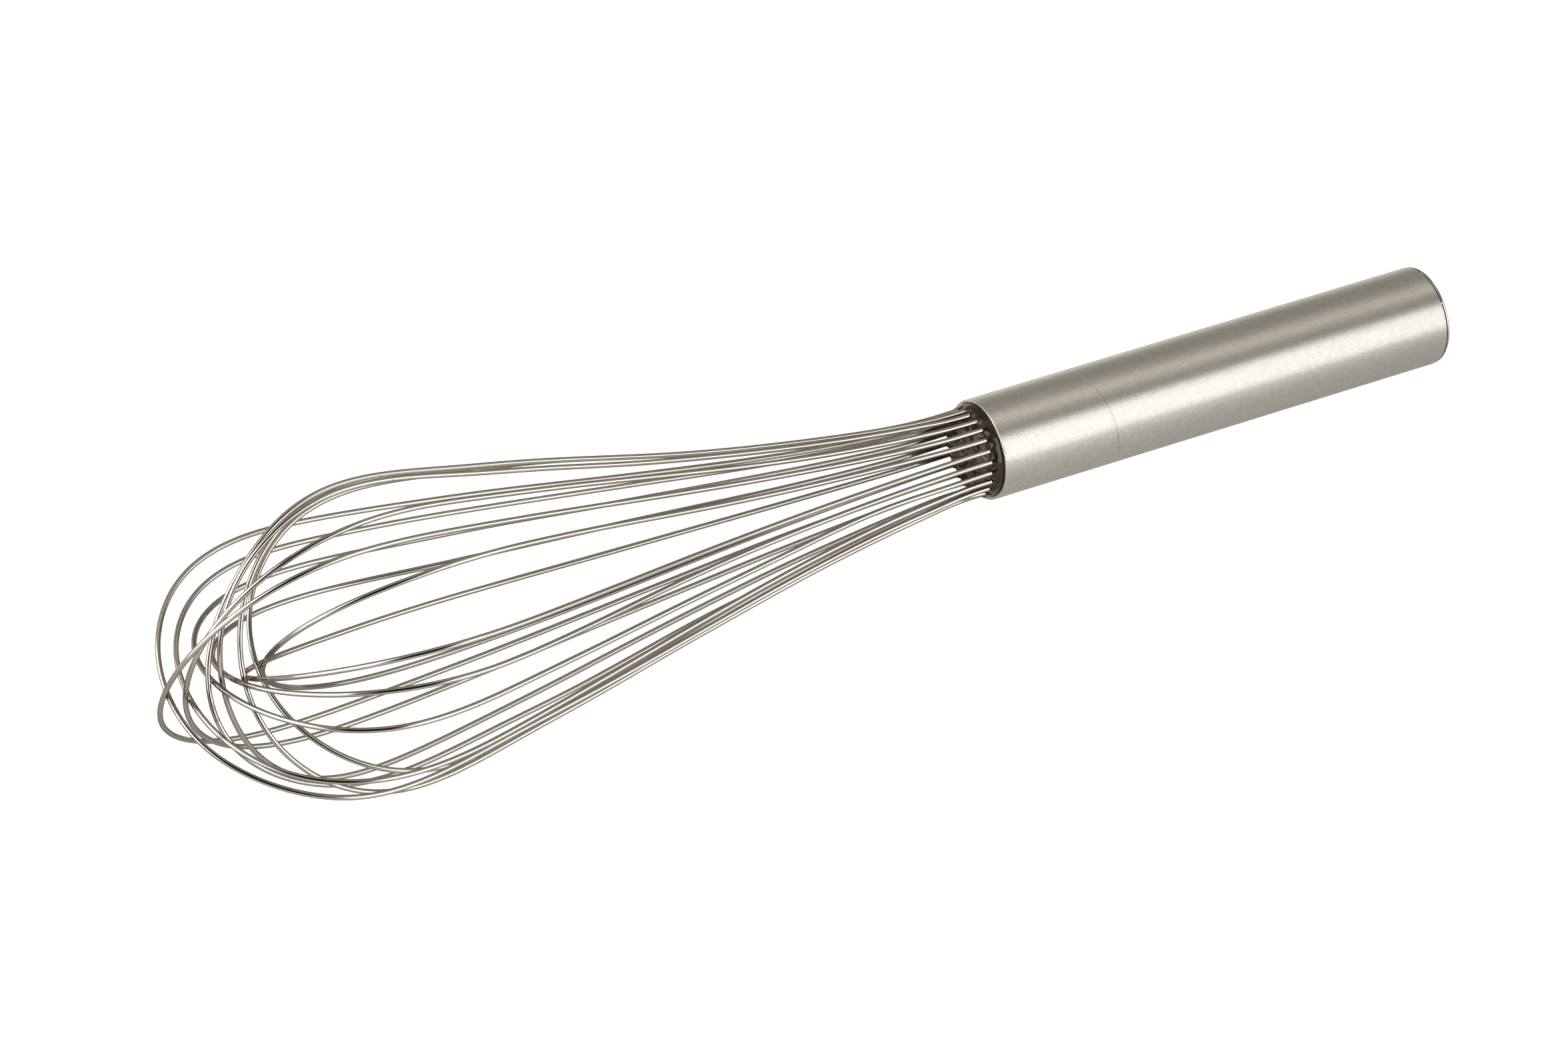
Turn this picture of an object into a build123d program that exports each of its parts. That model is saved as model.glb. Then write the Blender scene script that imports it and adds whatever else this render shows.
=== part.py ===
from build123d import *
import os
import math

# Balloon whisk, lying at rest.
# World frame: +Z up, millimetres, z = 0 is the surface it rests on.  +X runs
# from the capped end of the handle to the balloon.  The handle end and the two
# lowest wires touch z = 0, so the whole tool is tilted a little, nose up.
#
# Every piece is drawn in the whisk's own frame: origin at the centre of the
# handle's mouth, local z along the handle towards the tip of the balloon.

# ---------------------------------------------------------------- dimensions
handle_diameter = 27.0        # outside of the tube
handle_length = 139.0         # mouth to the end seam
tube_wall = 0.9
rim_round = 0.25              # broken edges of the tube's two ends

cap_seam = 0.28               # open joint line between tube and cap
cap_flange = 0.68             # thickness of the rim that shows past the seam
cap_flange_radius = 13.38
cap_skirt_depth = 9.0         # how far the cap reaches into the tube
cap_wall = 0.9
cap_edge_round = 0.4

resin_bond = 0.01             # bond line between resin and metal
resin_depth = 30.0            # how far the resin fills the tube
resin_crown = 2.1             # how far it stands out of the mouth
resin_edge_round = 1.6
resin_dish = 0.8              # hollow in the middle of the resin's face

stop_thickness = 2.5          # disc that kept the resin from running down
stop_clearance = 0.03

wire_diameter = 1.4
leg_circle_radius = 11.27     # circle that the 24 wire legs stand on
leg_depth = 28.0              # how far each leg is buried behind the mouth
arc_fill = 0.96               # share of the shorter half run used by each arc

mouth_centre = (-46.073, -2.568, 22.661)
nose_up = 3.7912                # tilt of the handle axis, degrees
roll = -44.8534                   # turn of the wire ring about the handle axis, degrees

# ---------------------------------------------------------------- whisk frame
tilt = math.radians(nose_up)
axis_dir = Vector(math.cos(tilt), 0, math.sin(tilt))
side_dir = Vector(0, 1, 0)
up_dir = axis_dir.cross(side_dir)           # square to the axis, upwards
ring_dir = up_dir * math.cos(math.radians(roll)) + side_dir * math.sin(math.radians(roll))
whisk = Plane(origin=mouth_centre, x_dir=ring_dir, z_dir=axis_dir)
centreline = Axis(mouth_centre, axis_dir)
# half-section plane of all turned pieces: local x is radius, local y runs
# along the handle towards the tip
meridian = Plane(origin=mouth_centre, x_dir=ring_dir, z_dir=ring_dir.cross(axis_dir))

tube_r = handle_diameter / 2
bore_r = tube_r - tube_wall
wire_r = wire_diameter / 2

# ---------------------------------------------------------------- wire loops
# Each loop is one wire.  Points are corners of its centreline in the whisk
# frame (x, y across, z along); the corners are rounded with large arcs.  The
# first and last runs are straight and lie inside the resin, on the leg circle.
loop_01_points = [
    (10.524, -4.040, -28.000), (10.524, -4.040, 6.000), (10.400, -3.930, 14.500), (17.120, -5.520, 67.070),
    (29.730, -8.870, 124.100), (37.330, -10.840, 166.380), (37.740, -10.950, 176.870), (36.920, -10.720, 184.330),
    (31.860, -9.260, 196.750), (26.500, -7.700, 203.830), (19.550, -5.670, 210.730), (13.300, -3.860, 215.400),
    (2.140, -0.610, 220.070), (-7.510, 2.200, 220.220), (-15.740, 4.590, 217.360), (-23.350, 6.810, 211.190),
    (-30.590, 8.920, 199.370), (-33.130, 9.660, 191.810), (-34.650, 10.100, 182.950), (-34.580, 10.070, 170.940),
    (-27.730, 8.330, 122.460), (-19.940, 6.270, 84.300), (-10.290, 3.870, 17.490), (-10.524, 4.040, 6.000),
    (-10.524, 4.040, -28.000),
]
loop_02_points = [
    (9.120, -6.626, -28.000), (9.120, -6.626, 11.980), (16.020, -9.080, 69.510), (35.330, -17.460, 166.210),
    (35.990, -17.770, 177.690), (35.270, -17.420, 185.650), (31.140, -15.370, 198.390), (23.450, -11.560, 208.260),
    (13.700, -6.730, 214.590), (1.690, -0.790, 216.530), (-5.020, 2.540, 215.960), (-11.580, 5.790, 214.340),
    (-21.250, 10.570, 209.030), (-27.390, 13.620, 201.670), (-31.110, 15.470, 190.920), (-31.880, 15.840, 183.970),
    (-31.390, 15.610, 169.490), (-13.780, 8.130, 60.210), (-9.020, 6.450, 13.980), (-9.120, 6.626, 6.000),
    (-9.120, 6.626, -28.000),
]
loop_03_points = [
    (7.094, -8.760, -28.000), (7.094, -8.760, 13.980), (10.440, -12.590, 54.150), (26.060, -30.920, 161.930),
    (26.820, -31.820, 176.880), (26.130, -31.030, 187.330), (24.480, -29.160, 196.500), (21.770, -26.150, 205.100),
    (18.490, -22.600, 212.090), (14.720, -18.590, 217.910), (7.600, -10.940, 224.810), (0.480, -2.800, 227.110),
    (-5.830, 4.930, 225.990), (-11.340, 12.050, 221.520), (-15.740, 17.970, 213.970), (-18.680, 22.070, 202.500),
    (-19.620, 23.440, 193.140), (-19.710, 23.700, 176.140), (-6.970, 8.640, 21.490), (-7.094, 8.760, 6.000),
    (-7.094, 8.760, -28.000),
]
loop_04_points = [
    (4.585, -10.298, -28.000), (4.585, -10.298, 6.000), (4.440, -9.830, 16.490), (6.750, -13.380, 49.230),
    (19.420, -34.270, 169.720), (19.920, -35.140, 186.190), (19.400, -34.230, 195.630), (18.300, -32.280, 203.310),
    (16.680, -29.420, 210.050), (14.390, -25.360, 216.560), (11.580, -20.390, 222.160), (8.580, -15.060, 226.500),
    (5.280, -9.220, 229.860), (-0.710, 1.430, 232.570), (-5.340, 9.670, 231.340), (-9.040, 16.260, 227.390),
    (-12.240, 21.960, 220.440), (-14.730, 26.440, 208.470), (-15.430, 27.730, 199.580), (-15.380, 27.640, 181.090),
    (-4.930, 10.610, 33.000), (-4.585, 10.298, 6.000), (-4.585, 10.298, -28.000),
]
loop_05_points = [
    (1.763, -11.134, -28.000), (1.763, -11.134, 6.000), (1.820, -10.780, 19.000), (4.190, -17.210, 67.040),
    (9.990, -34.370, 138.770), (10.720, -36.180, 157.690), (10.410, -34.910, 171.640), (9.580, -31.960, 183.250),
    (8.730, -28.930, 190.610), (6.890, -22.430, 199.320), (4.630, -14.500, 204.140), (1.730, -4.520, 205.940),
    (-1.510, 6.420, 204.040), (-5.000, 17.930, 196.820), (-6.560, 23.000, 191.500), (-8.030, 27.750, 184.600),
    (-9.170, 31.460, 176.480), (-9.950, 34.010, 166.840), (-10.260, 35.200, 153.880), (-9.320, 32.800, 123.980),
    (-3.530, 15.430, 49.200), (-1.763, 11.134, 14.490), (-1.763, 11.134, -28.000),
]
loop_06_points = [
    (-1.178, -11.211, -28.000), (-1.178, -11.211, 6.000), (-1.310, -11.060, 19.010), (-3.000, -18.600, 68.970),
    (-7.840, -41.770, 150.090), (-8.270, -43.540, 162.970), (-8.260, -43.200, 171.460), (-8.020, -41.610, 178.790),
    (-7.590, -38.970, 185.260), (-6.990, -35.280, 191.180), (-6.190, -30.360, 196.780), (-5.140, -23.780, 202.060),
    (-4.030, -16.830, 205.890), (-2.920, -9.870, 208.450), (-1.180, 0.940, 210.080), (0.450, 10.710, 206.440),
    (1.330, 15.830, 200.980), (2.330, 21.260, 188.110), (3.250, 25.740, 165.020), (3.400, 26.380, 140.490),
    (0.970, 10.920, 21.500), (1.178, 11.211, 6.000), (1.178, 11.211, -28.000),
]
loop_07_points = [
    (-4.040, -10.524, -28.000), (-4.040, -10.524, 6.000), (-4.190, -10.540, 26.520), (-7.730, -17.530, 85.050),
    (-15.580, -33.670, 149.640), (-16.390, -35.260, 164.040), (-16.170, -34.790, 173.030), (-15.270, -32.890, 181.790),
    (-13.740, -29.620, 190.040), (-11.650, -25.130, 197.560), (-9.200, -19.850, 203.770), (-6.690, -14.450, 208.320),
    (-4.090, -8.860, 211.660), (0.810, 1.730, 214.600), (5.420, 11.690, 213.230), (9.190, 19.850, 208.720),
    (12.260, 26.510, 201.120), (14.120, 30.590, 189.960), (14.530, 31.510, 182.520), (14.390, 31.260, 171.020),
    (11.880, 26.240, 139.510), (8.870, 20.170, 95.040), (4.730, 11.720, 42.390), (3.710, 9.740, 18.980),
    (4.040, 10.524, 6.000), (4.040, 10.524, -28.000),
]
loop_08_points = [
    (-6.626, -9.120, -28.000), (-6.626, -9.120, 6.000), (-6.440, -8.660, 38.650), (-23.640, -28.720, 164.560),
    (-24.110, -29.260, 178.050), (-23.590, -28.640, 186.020), (-20.500, -24.900, 198.070), (-17.790, -21.610, 203.630),
    (-14.590, -17.720, 208.490), (-10.400, -12.640, 213.050), (-6.070, -7.370, 216.170), (-1.780, -2.170, 218.070),
    (5.840, 7.110, 218.560), (11.610, 14.120, 215.590), (16.420, 19.980, 209.800), (20.060, 24.420, 200.940),
    (22.140, 26.980, 186.250), (21.590, 26.330, 168.230), (8.190, 10.770, 38.880), (6.480, 8.880, 15.500),
    (6.626, 9.120, 6.000), (6.626, 9.120, -28.000),
]
loop_09_points = [
    (-8.760, -7.094, -28.000), (-8.760, -7.094, 13.480), (-13.570, -9.250, 56.140), (-34.340, -20.480, 165.550),
    (-35.300, -21.010, 182.010), (-34.370, -20.420, 191.950), (-32.620, -19.280, 199.680), (-27.280, -15.690, 211.590),
    (-19.030, -9.990, 220.010), (-8.950, -3.150, 224.740), (2.580, 3.980, 225.270), (12.290, 9.270, 221.920),
    (19.510, 12.890, 215.940), (24.560, 15.330, 207.610), (27.630, 16.740, 193.980), (27.270, 16.370, 176.460),
    (8.820, 6.840, 25.490), (8.760, 7.094, 6.000), (8.760, 7.094, -28.000),
]
loop_10_points = [
    (-10.298, -4.585, -28.000), (-10.298, -4.585, 10.000), (-14.520, -5.610, 47.250), (-29.170, -9.980, 124.240),
    (-37.640, -12.510, 175.980), (-37.920, -12.620, 188.480), (-36.790, -12.240, 196.390), (-34.530, -11.490, 203.510),
    (-30.740, -10.220, 211.010), (-25.770, -8.560, 217.710), (-20.630, -6.840, 222.910), (-10.850, -3.580, 229.130),
    (-0.020, 0.040, 231.000), (10.820, 3.660, 229.210), (20.440, 6.860, 223.650), (27.240, 9.120, 215.900),
    (31.440, 10.530, 204.710), (32.540, 10.900, 196.280), (32.120, 10.740, 178.280), (13.220, 5.180, 51.840),
    (9.940, 4.340, 18.500), (10.298, 4.585, 6.000), (10.298, 4.585, -28.000),
]
loop_11_points = [
    (-11.134, -1.763, -28.000), (-11.134, -1.763, 6.000), (-10.100, -1.600, 16.970), (-13.970, -2.170, 47.250),
    (-30.690, -4.680, 134.580), (-35.710, -5.440, 158.030), (-36.300, -5.540, 168.010), (-35.580, -5.460, 175.480),
    (-31.270, -4.900, 187.780), (-22.140, -3.770, 198.430), (-11.450, -2.410, 204.900), (-0.240, -0.810, 207.250),
    (10.570, 0.930, 205.690), (20.670, 2.710, 200.350), (29.670, 4.340, 191.010), (34.660, 5.240, 178.990),
    (35.890, 5.460, 171.080), (35.830, 5.480, 159.580), (29.440, 4.520, 115.050), (15.200, 2.370, 53.730),
    (10.640, 1.680, 18.500), (11.134, 1.763, 6.000), (11.134, 1.763, -28.000),
]
loop_12_points = [
    (-11.211, 1.178, -28.000), (-11.211, 1.178, 9.500), (-16.190, 1.820, 48.670), (-38.690, 4.570, 163.430),
    (-39.130, 4.580, 174.920), (-38.240, 4.410, 182.370), (-33.780, 3.630, 194.070), (-25.090, 2.020, 203.720),
    (-14.280, 0.050, 209.830), (-2.510, -1.710, 211.850), (10.350, -2.960, 209.780), (22.000, -3.590, 202.890),
    (27.120, -3.840, 198.120), (34.510, -4.250, 187.370), (37.310, -4.420, 173.580), (36.770, -4.320, 162.080),
    (29.000, -3.360, 117.770), (16.720, -1.880, 63.150), (10.810, -1.140, 17.000), (11.211, -1.178, 6.000),
    (11.211, -1.178, -28.000),
]


def corner_radii(points):
    """Largest arc at each corner that its two runs allow, clear of the resin."""
    pts = [Vector(*p) for p in points]
    radii = []
    for i in range(1, len(pts) - 1):
        back = pts[i - 1] - pts[i]
        ahead = pts[i + 1] - pts[i]
        turn = 180 - back.get_angle(ahead)
        room_back = back.length / 2
        room_ahead = ahead.length / 2
        if i == 1:
            room_back = pts[1].Z - resin_crown - 0.5
        if i == len(pts) - 2:
            room_ahead = pts[-2].Z - resin_crown - 0.5
        room = min(room_back, room_ahead)
        radii.append(round(arc_fill * room / math.tan(math.radians(turn) / 2), 2))
    return radii


# ---------------------------------------------------------------- handle
# Plain drawn tube.
with BuildPart() as handle_tube:
    with BuildSketch(meridian) as tube_section:
        with BuildLine():
            Polyline(
                (bore_r, -handle_length),
                (tube_r, -handle_length),
                (tube_r, 0),
                (bore_r, 0),
                close=True,
            )
        make_face()
        fillet(tube_section.vertices(), rim_round)
    revolve(axis=centreline)
handle_tube.part.label = "handle_tube"

# Pressed cap: a shallow cup pushed into the tube, closed at the outer end.
# Its rim stands just past the tube, across an open seam.
cap_inner = -(handle_length + cap_seam)
cap_outer = cap_inner - cap_flange
with BuildPart() as end_cap:
    with BuildSketch(meridian) as cap_section:
        with BuildLine():
            Polyline(
                (0, cap_outer),
                (cap_flange_radius, cap_outer),
                (cap_flange_radius, cap_inner),
                (bore_r - 0.02, cap_inner),
                (bore_r - 0.02, -handle_length + cap_skirt_depth),
                (bore_r - 0.02 - cap_wall, -handle_length + cap_skirt_depth),
                (bore_r - 0.02 - cap_wall, cap_outer + 1.1),
                (0, cap_outer + 1.1),
                close=True,
            )
        make_face()
        rim_corner = cap_section.vertices().filter_by(
            lambda v: abs((Vector(*v) - meridian.from_local_coords(Vector(cap_flange_radius, cap_outer, 0))).length) < 1e-4
        )
        fillet(rim_corner, cap_edge_round)
    revolve(axis=centreline)
end_cap.part.label = "end_cap"

# ---------------------------------------------------------------- resin
# Potting resin that fills the mouth and holds all the legs.  Its face stands
# out of the tube with a rounded shoulder and is dished in the middle.  Each
# leg has its own hole.
resin_r = bore_r - resin_bond
with BuildPart() as resin_plug:
    with BuildSketch(meridian) as resin_section:
        with BuildLine():
            Line((0, -resin_depth), (resin_r, -resin_depth))
            Line((resin_r, -resin_depth), (resin_r, resin_crown - resin_edge_round))
            RadiusArc(
                (resin_r, resin_crown - resin_edge_round),
                (resin_r - resin_edge_round, resin_crown),
                -resin_edge_round,
            )
            Line((resin_r - resin_edge_round, resin_crown), (9.6, resin_crown))
            Spline(
                (9.6, resin_crown),
                (6.0, resin_crown - 0.75 * resin_dish),
                (0, resin_crown - resin_dish),
                tangents=[(-1, 0), (-1, 0)],
            )
            Line((0, resin_crown - resin_dish), (0, -resin_depth))
        make_face()
    revolve(axis=centreline)
    with BuildSketch(whisk.offset(-leg_depth)) as leg_holes:
        with PolarLocations(leg_circle_radius, 24, start_angle=-6):
            Circle(wire_r + resin_bond)
    extrude(amount=leg_depth + resin_crown + 2, mode=Mode.SUBTRACT)
resin_plug.part.label = "resin_plug"

# Disc pressed into the tube behind the resin.
with BuildPart() as resin_stop:
    with BuildSketch(meridian) as stop_section:
        with BuildLine():
            Polyline(
                (0, -resin_depth - stop_thickness),
                (bore_r - stop_clearance, -resin_depth - stop_thickness),
                (bore_r - stop_clearance, -resin_depth),
                (0, -resin_depth),
                close=True,
            )
        make_face()
    revolve(axis=centreline)
resin_stop.part.label = "resin_stop"

# ---------------------------------------------------------------- wires
with BuildPart() as wire_loop_01:
    with BuildLine(whisk) as centre_01:
        FilletPolyline(*loop_01_points, radius=corner_radii(loop_01_points))
    with BuildSketch(Plane(origin=centre_01.line @ 0, z_dir=centre_01.line % 0)):
        Circle(wire_r)
    sweep(path=centre_01.line)
wire_loop_01.part.label = "wire_loop_01"

with BuildPart() as wire_loop_02:
    with BuildLine(whisk) as centre_02:
        FilletPolyline(*loop_02_points, radius=corner_radii(loop_02_points))
    with BuildSketch(Plane(origin=centre_02.line @ 0, z_dir=centre_02.line % 0)):
        Circle(wire_r)
    sweep(path=centre_02.line)
wire_loop_02.part.label = "wire_loop_02"

with BuildPart() as wire_loop_03:
    with BuildLine(whisk) as centre_03:
        FilletPolyline(*loop_03_points, radius=corner_radii(loop_03_points))
    with BuildSketch(Plane(origin=centre_03.line @ 0, z_dir=centre_03.line % 0)):
        Circle(wire_r)
    sweep(path=centre_03.line)
wire_loop_03.part.label = "wire_loop_03"

with BuildPart() as wire_loop_04:
    with BuildLine(whisk) as centre_04:
        FilletPolyline(*loop_04_points, radius=corner_radii(loop_04_points))
    with BuildSketch(Plane(origin=centre_04.line @ 0, z_dir=centre_04.line % 0)):
        Circle(wire_r)
    sweep(path=centre_04.line)
wire_loop_04.part.label = "wire_loop_04"

with BuildPart() as wire_loop_05:
    with BuildLine(whisk) as centre_05:
        FilletPolyline(*loop_05_points, radius=corner_radii(loop_05_points))
    with BuildSketch(Plane(origin=centre_05.line @ 0, z_dir=centre_05.line % 0)):
        Circle(wire_r)
    sweep(path=centre_05.line)
wire_loop_05.part.label = "wire_loop_05"

with BuildPart() as wire_loop_06:
    with BuildLine(whisk) as centre_06:
        FilletPolyline(*loop_06_points, radius=corner_radii(loop_06_points))
    with BuildSketch(Plane(origin=centre_06.line @ 0, z_dir=centre_06.line % 0)):
        Circle(wire_r)
    sweep(path=centre_06.line)
wire_loop_06.part.label = "wire_loop_06"

with BuildPart() as wire_loop_07:
    with BuildLine(whisk) as centre_07:
        FilletPolyline(*loop_07_points, radius=corner_radii(loop_07_points))
    with BuildSketch(Plane(origin=centre_07.line @ 0, z_dir=centre_07.line % 0)):
        Circle(wire_r)
    sweep(path=centre_07.line)
wire_loop_07.part.label = "wire_loop_07"

with BuildPart() as wire_loop_08:
    with BuildLine(whisk) as centre_08:
        FilletPolyline(*loop_08_points, radius=corner_radii(loop_08_points))
    with BuildSketch(Plane(origin=centre_08.line @ 0, z_dir=centre_08.line % 0)):
        Circle(wire_r)
    sweep(path=centre_08.line)
wire_loop_08.part.label = "wire_loop_08"

with BuildPart() as wire_loop_09:
    with BuildLine(whisk) as centre_09:
        FilletPolyline(*loop_09_points, radius=corner_radii(loop_09_points))
    with BuildSketch(Plane(origin=centre_09.line @ 0, z_dir=centre_09.line % 0)):
        Circle(wire_r)
    sweep(path=centre_09.line)
wire_loop_09.part.label = "wire_loop_09"

with BuildPart() as wire_loop_10:
    with BuildLine(whisk) as centre_10:
        FilletPolyline(*loop_10_points, radius=corner_radii(loop_10_points))
    with BuildSketch(Plane(origin=centre_10.line @ 0, z_dir=centre_10.line % 0)):
        Circle(wire_r)
    sweep(path=centre_10.line)
wire_loop_10.part.label = "wire_loop_10"

with BuildPart() as wire_loop_11:
    with BuildLine(whisk) as centre_11:
        FilletPolyline(*loop_11_points, radius=corner_radii(loop_11_points))
    with BuildSketch(Plane(origin=centre_11.line @ 0, z_dir=centre_11.line % 0)):
        Circle(wire_r)
    sweep(path=centre_11.line)
wire_loop_11.part.label = "wire_loop_11"

with BuildPart() as wire_loop_12:
    with BuildLine(whisk) as centre_12:
        FilletPolyline(*loop_12_points, radius=corner_radii(loop_12_points))
    with BuildSketch(Plane(origin=centre_12.line @ 0, z_dir=centre_12.line % 0)):
        Circle(wire_r)
    sweep(path=centre_12.line)
wire_loop_12.part.label = "wire_loop_12"

# ---------------------------------------------------------------- output
os.makedirs("parts", exist_ok=True)
export_step(handle_tube.part, "parts/handle_tube.step")
export_step(end_cap.part, "parts/end_cap.step")
export_step(resin_plug.part, "parts/resin_plug.step")
export_step(resin_stop.part, "parts/resin_stop.step")
export_step(wire_loop_01.part, "parts/wire_loop_01.step")
export_step(wire_loop_02.part, "parts/wire_loop_02.step")
export_step(wire_loop_03.part, "parts/wire_loop_03.step")
export_step(wire_loop_04.part, "parts/wire_loop_04.step")
export_step(wire_loop_05.part, "parts/wire_loop_05.step")
export_step(wire_loop_06.part, "parts/wire_loop_06.step")
export_step(wire_loop_07.part, "parts/wire_loop_07.step")
export_step(wire_loop_08.part, "parts/wire_loop_08.step")
export_step(wire_loop_09.part, "parts/wire_loop_09.step")
export_step(wire_loop_10.part, "parts/wire_loop_10.step")
export_step(wire_loop_11.part, "parts/wire_loop_11.step")
export_step(wire_loop_12.part, "parts/wire_loop_12.step")

# wire volumes against section times centreline length
for name, wire, centre in (
    ("wire_loop_01", wire_loop_01, centre_01),
    ("wire_loop_02", wire_loop_02, centre_02),
    ("wire_loop_03", wire_loop_03, centre_03),
    ("wire_loop_04", wire_loop_04, centre_04),
    ("wire_loop_05", wire_loop_05, centre_05),
    ("wire_loop_06", wire_loop_06, centre_06),
    ("wire_loop_07", wire_loop_07, centre_07),
    ("wire_loop_08", wire_loop_08, centre_08),
    ("wire_loop_09", wire_loop_09, centre_09),
    ("wire_loop_10", wire_loop_10, centre_10),
    ("wire_loop_11", wire_loop_11, centre_11),
    ("wire_loop_12", wire_loop_12, centre_12),
):
    length = sum(edge.length for edge in centre.edges())
    print(name, "length", round(length, 1), "volume ratio", round(wire.part.volume / (math.pi * wire_r**2 * length), 4))
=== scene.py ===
import math
import bpy
import numpy as np
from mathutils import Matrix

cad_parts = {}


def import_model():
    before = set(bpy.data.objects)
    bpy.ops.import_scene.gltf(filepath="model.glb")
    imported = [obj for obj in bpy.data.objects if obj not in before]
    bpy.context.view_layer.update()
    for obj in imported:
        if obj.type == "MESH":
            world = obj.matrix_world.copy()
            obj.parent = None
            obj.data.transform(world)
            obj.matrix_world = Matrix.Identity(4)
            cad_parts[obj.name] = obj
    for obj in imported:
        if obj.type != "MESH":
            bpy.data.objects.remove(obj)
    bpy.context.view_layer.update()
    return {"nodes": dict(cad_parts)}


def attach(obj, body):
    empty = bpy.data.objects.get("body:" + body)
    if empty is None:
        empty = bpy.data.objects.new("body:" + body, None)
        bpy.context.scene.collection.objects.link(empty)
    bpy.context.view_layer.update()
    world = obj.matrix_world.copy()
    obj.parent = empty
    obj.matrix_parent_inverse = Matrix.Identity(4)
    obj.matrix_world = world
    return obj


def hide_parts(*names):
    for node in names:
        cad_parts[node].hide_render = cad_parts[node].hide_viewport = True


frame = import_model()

# ------------------------------------------------------------------ frame
# The whisk's own frame: origin at the centre of the handle's mouth, local z
# along the handle towards the tip.  Same numbers as the CAD model.
MM = 0.001
MOUTH = np.array((-46.073, -2.568, 22.661)) * MM
NOSE_UP = math.radians(3.7912)
ROLL = math.radians(-44.8534)
AX = np.array((math.cos(NOSE_UP), 0.0, math.sin(NOSE_UP)))
SIDE = np.array((0.0, 1.0, 0.0))
UPW = np.cross(AX, SIDE)
RX = UPW * math.cos(ROLL) + SIDE * math.sin(ROLL)
RY = np.cross(AX, RX)

CAM_POS = (0.583563, 0.959974, 1.019546)
CAM_RIGHT = (-0.86907618, 0.49421902, 0.02115153)
CAM_UP = (-0.31522619, -0.58624627, 0.74627223)
CAM_BACK = (0.38123358, 0.64189990, 0.66528414)

def world(p):
    """Whisk frame in mm -> world in metres."""
    p = np.asarray(p, float) * MM
    return MOUTH + p[..., 0:1] * RX + p[..., 1:2] * RY + p[..., 2:3] * AX


# ------------------------------------------------------------------ sizes, mm
TUBE_R = 13.5
BORE_R = 12.6
TUBE_L = 139.0
WIRE_R = 0.70
RING_R = 11.27
SEAM = 0.28
FLANGE = 0.68

# ------------------------------------------------------------------ helpers
def new_mesh(name, verts, faces, uvs=None, smooth=True, sharp=None):
    me = bpy.data.meshes.new(name)
    me.from_pydata([tuple(v) for v in verts], [], [tuple(f) for f in faces])
    if uvs is not None:
        lay = me.uv_layers.new(name="UVMap")
        lay.data.foreach_set("uv", np.asarray(uvs, np.float32).ravel())
    me.polygons.foreach_set("use_smooth", [smooth] * len(me.polygons))
    if sharp is not None:
        me.set_sharp_from_angle(angle=math.radians(sharp))
    me.update()
    ob = bpy.data.objects.new(name, me)
    bpy.context.scene.collection.objects.link(ob)
    return ob


def lathe(name, profile, n=320, closed=True, warp=None, sharp=40):
    """Turns an (r, z) profile in mm about the handle axis.
    UV: u is the distance round the outside in mm, v the distance along it."""
    prof = np.asarray(profile, float)
    m = len(prof)
    ang = np.linspace(0, 2 * math.pi, n, endpoint=False)
    A_, Z_ = np.meshgrid(ang, np.arange(m), indexing="ij")
    r = prof[Z_.astype(int), 0].astype(float)
    z = prof[Z_.astype(int), 1].astype(float)
    if warp is not None:
        r, z = warp(r, z, A_)
    loc = np.stack([r * np.cos(A_), r * np.sin(A_), z], -1)
    verts = world(loc).reshape(-1, 3)
    along = np.r_[0, np.cumsum(np.hypot(*np.diff(prof, axis=0).T))]
    last = along[-1] + (np.hypot(*(prof[0] - prof[-1])) if closed else 0)
    faces, uvs = [], []
    span = m if closed else m - 1
    per = 2 * math.pi * TUBE_R
    for i in range(n):
        i2 = (i + 1) % n
        for j in range(span):
            j2 = (j + 1) % m
            f = (i * m + j, i2 * m + j, i2 * m + j2, i * m + j2)
            u0, u1 = per * i / n, per * (i + 1) / n
            v0, v1 = along[j], (along[j2] if j2 else last)
            z0, z1 = prof[j, 1], prof[j2, 1]
            faces.append(f)
            uvs += [(u0, z0), (u1, z0), (u1, z1), (u0, z1)]
    return new_mesh(name, verts, faces, uvs, True, sharp)


def arc(cx, cz, r, a0, a1, n=6):
    a = np.radians(np.linspace(a0, a1, n))
    return [(cx + r * math.cos(t), cz + r * math.sin(t)) for t in a]


def spline(points, step):
    """Natural cubic through the points, resampled at even steps."""
    p = np.asarray(points, float)
    t = np.r_[0, np.cumsum(np.linalg.norm(np.diff(p, axis=0), axis=1))]
    h = np.diff(t)
    n = len(p)
    A_ = np.zeros((n, n))
    B = np.zeros((n, 3))
    A_[0, 0] = A_[-1, -1] = 1
    for i in range(1, n - 1):
        A_[i, i - 1] = h[i - 1]
        A_[i, i] = 2 * (h[i - 1] + h[i])
        A_[i, i + 1] = h[i]
        B[i] = 6 * ((p[i + 1] - p[i]) / h[i] - (p[i] - p[i - 1]) / h[i - 1])
    k = np.linalg.solve(A_, B)
    q = np.linspace(0, t[-1], int(t[-1] / step) + 1)
    i = np.clip(np.searchsorted(t, q, side="right") - 1, 0, n - 2)
    a = ((t[i + 1] - q) / h[i])[:, None]
    b = ((q - t[i]) / h[i])[:, None]
    hh = (h[i] ** 2)[:, None] / 6
    return a * p[i] + b * p[i + 1] + ((a ** 3 - a) * k[i] + (b ** 3 - b) * k[i + 1]) * hh


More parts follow.
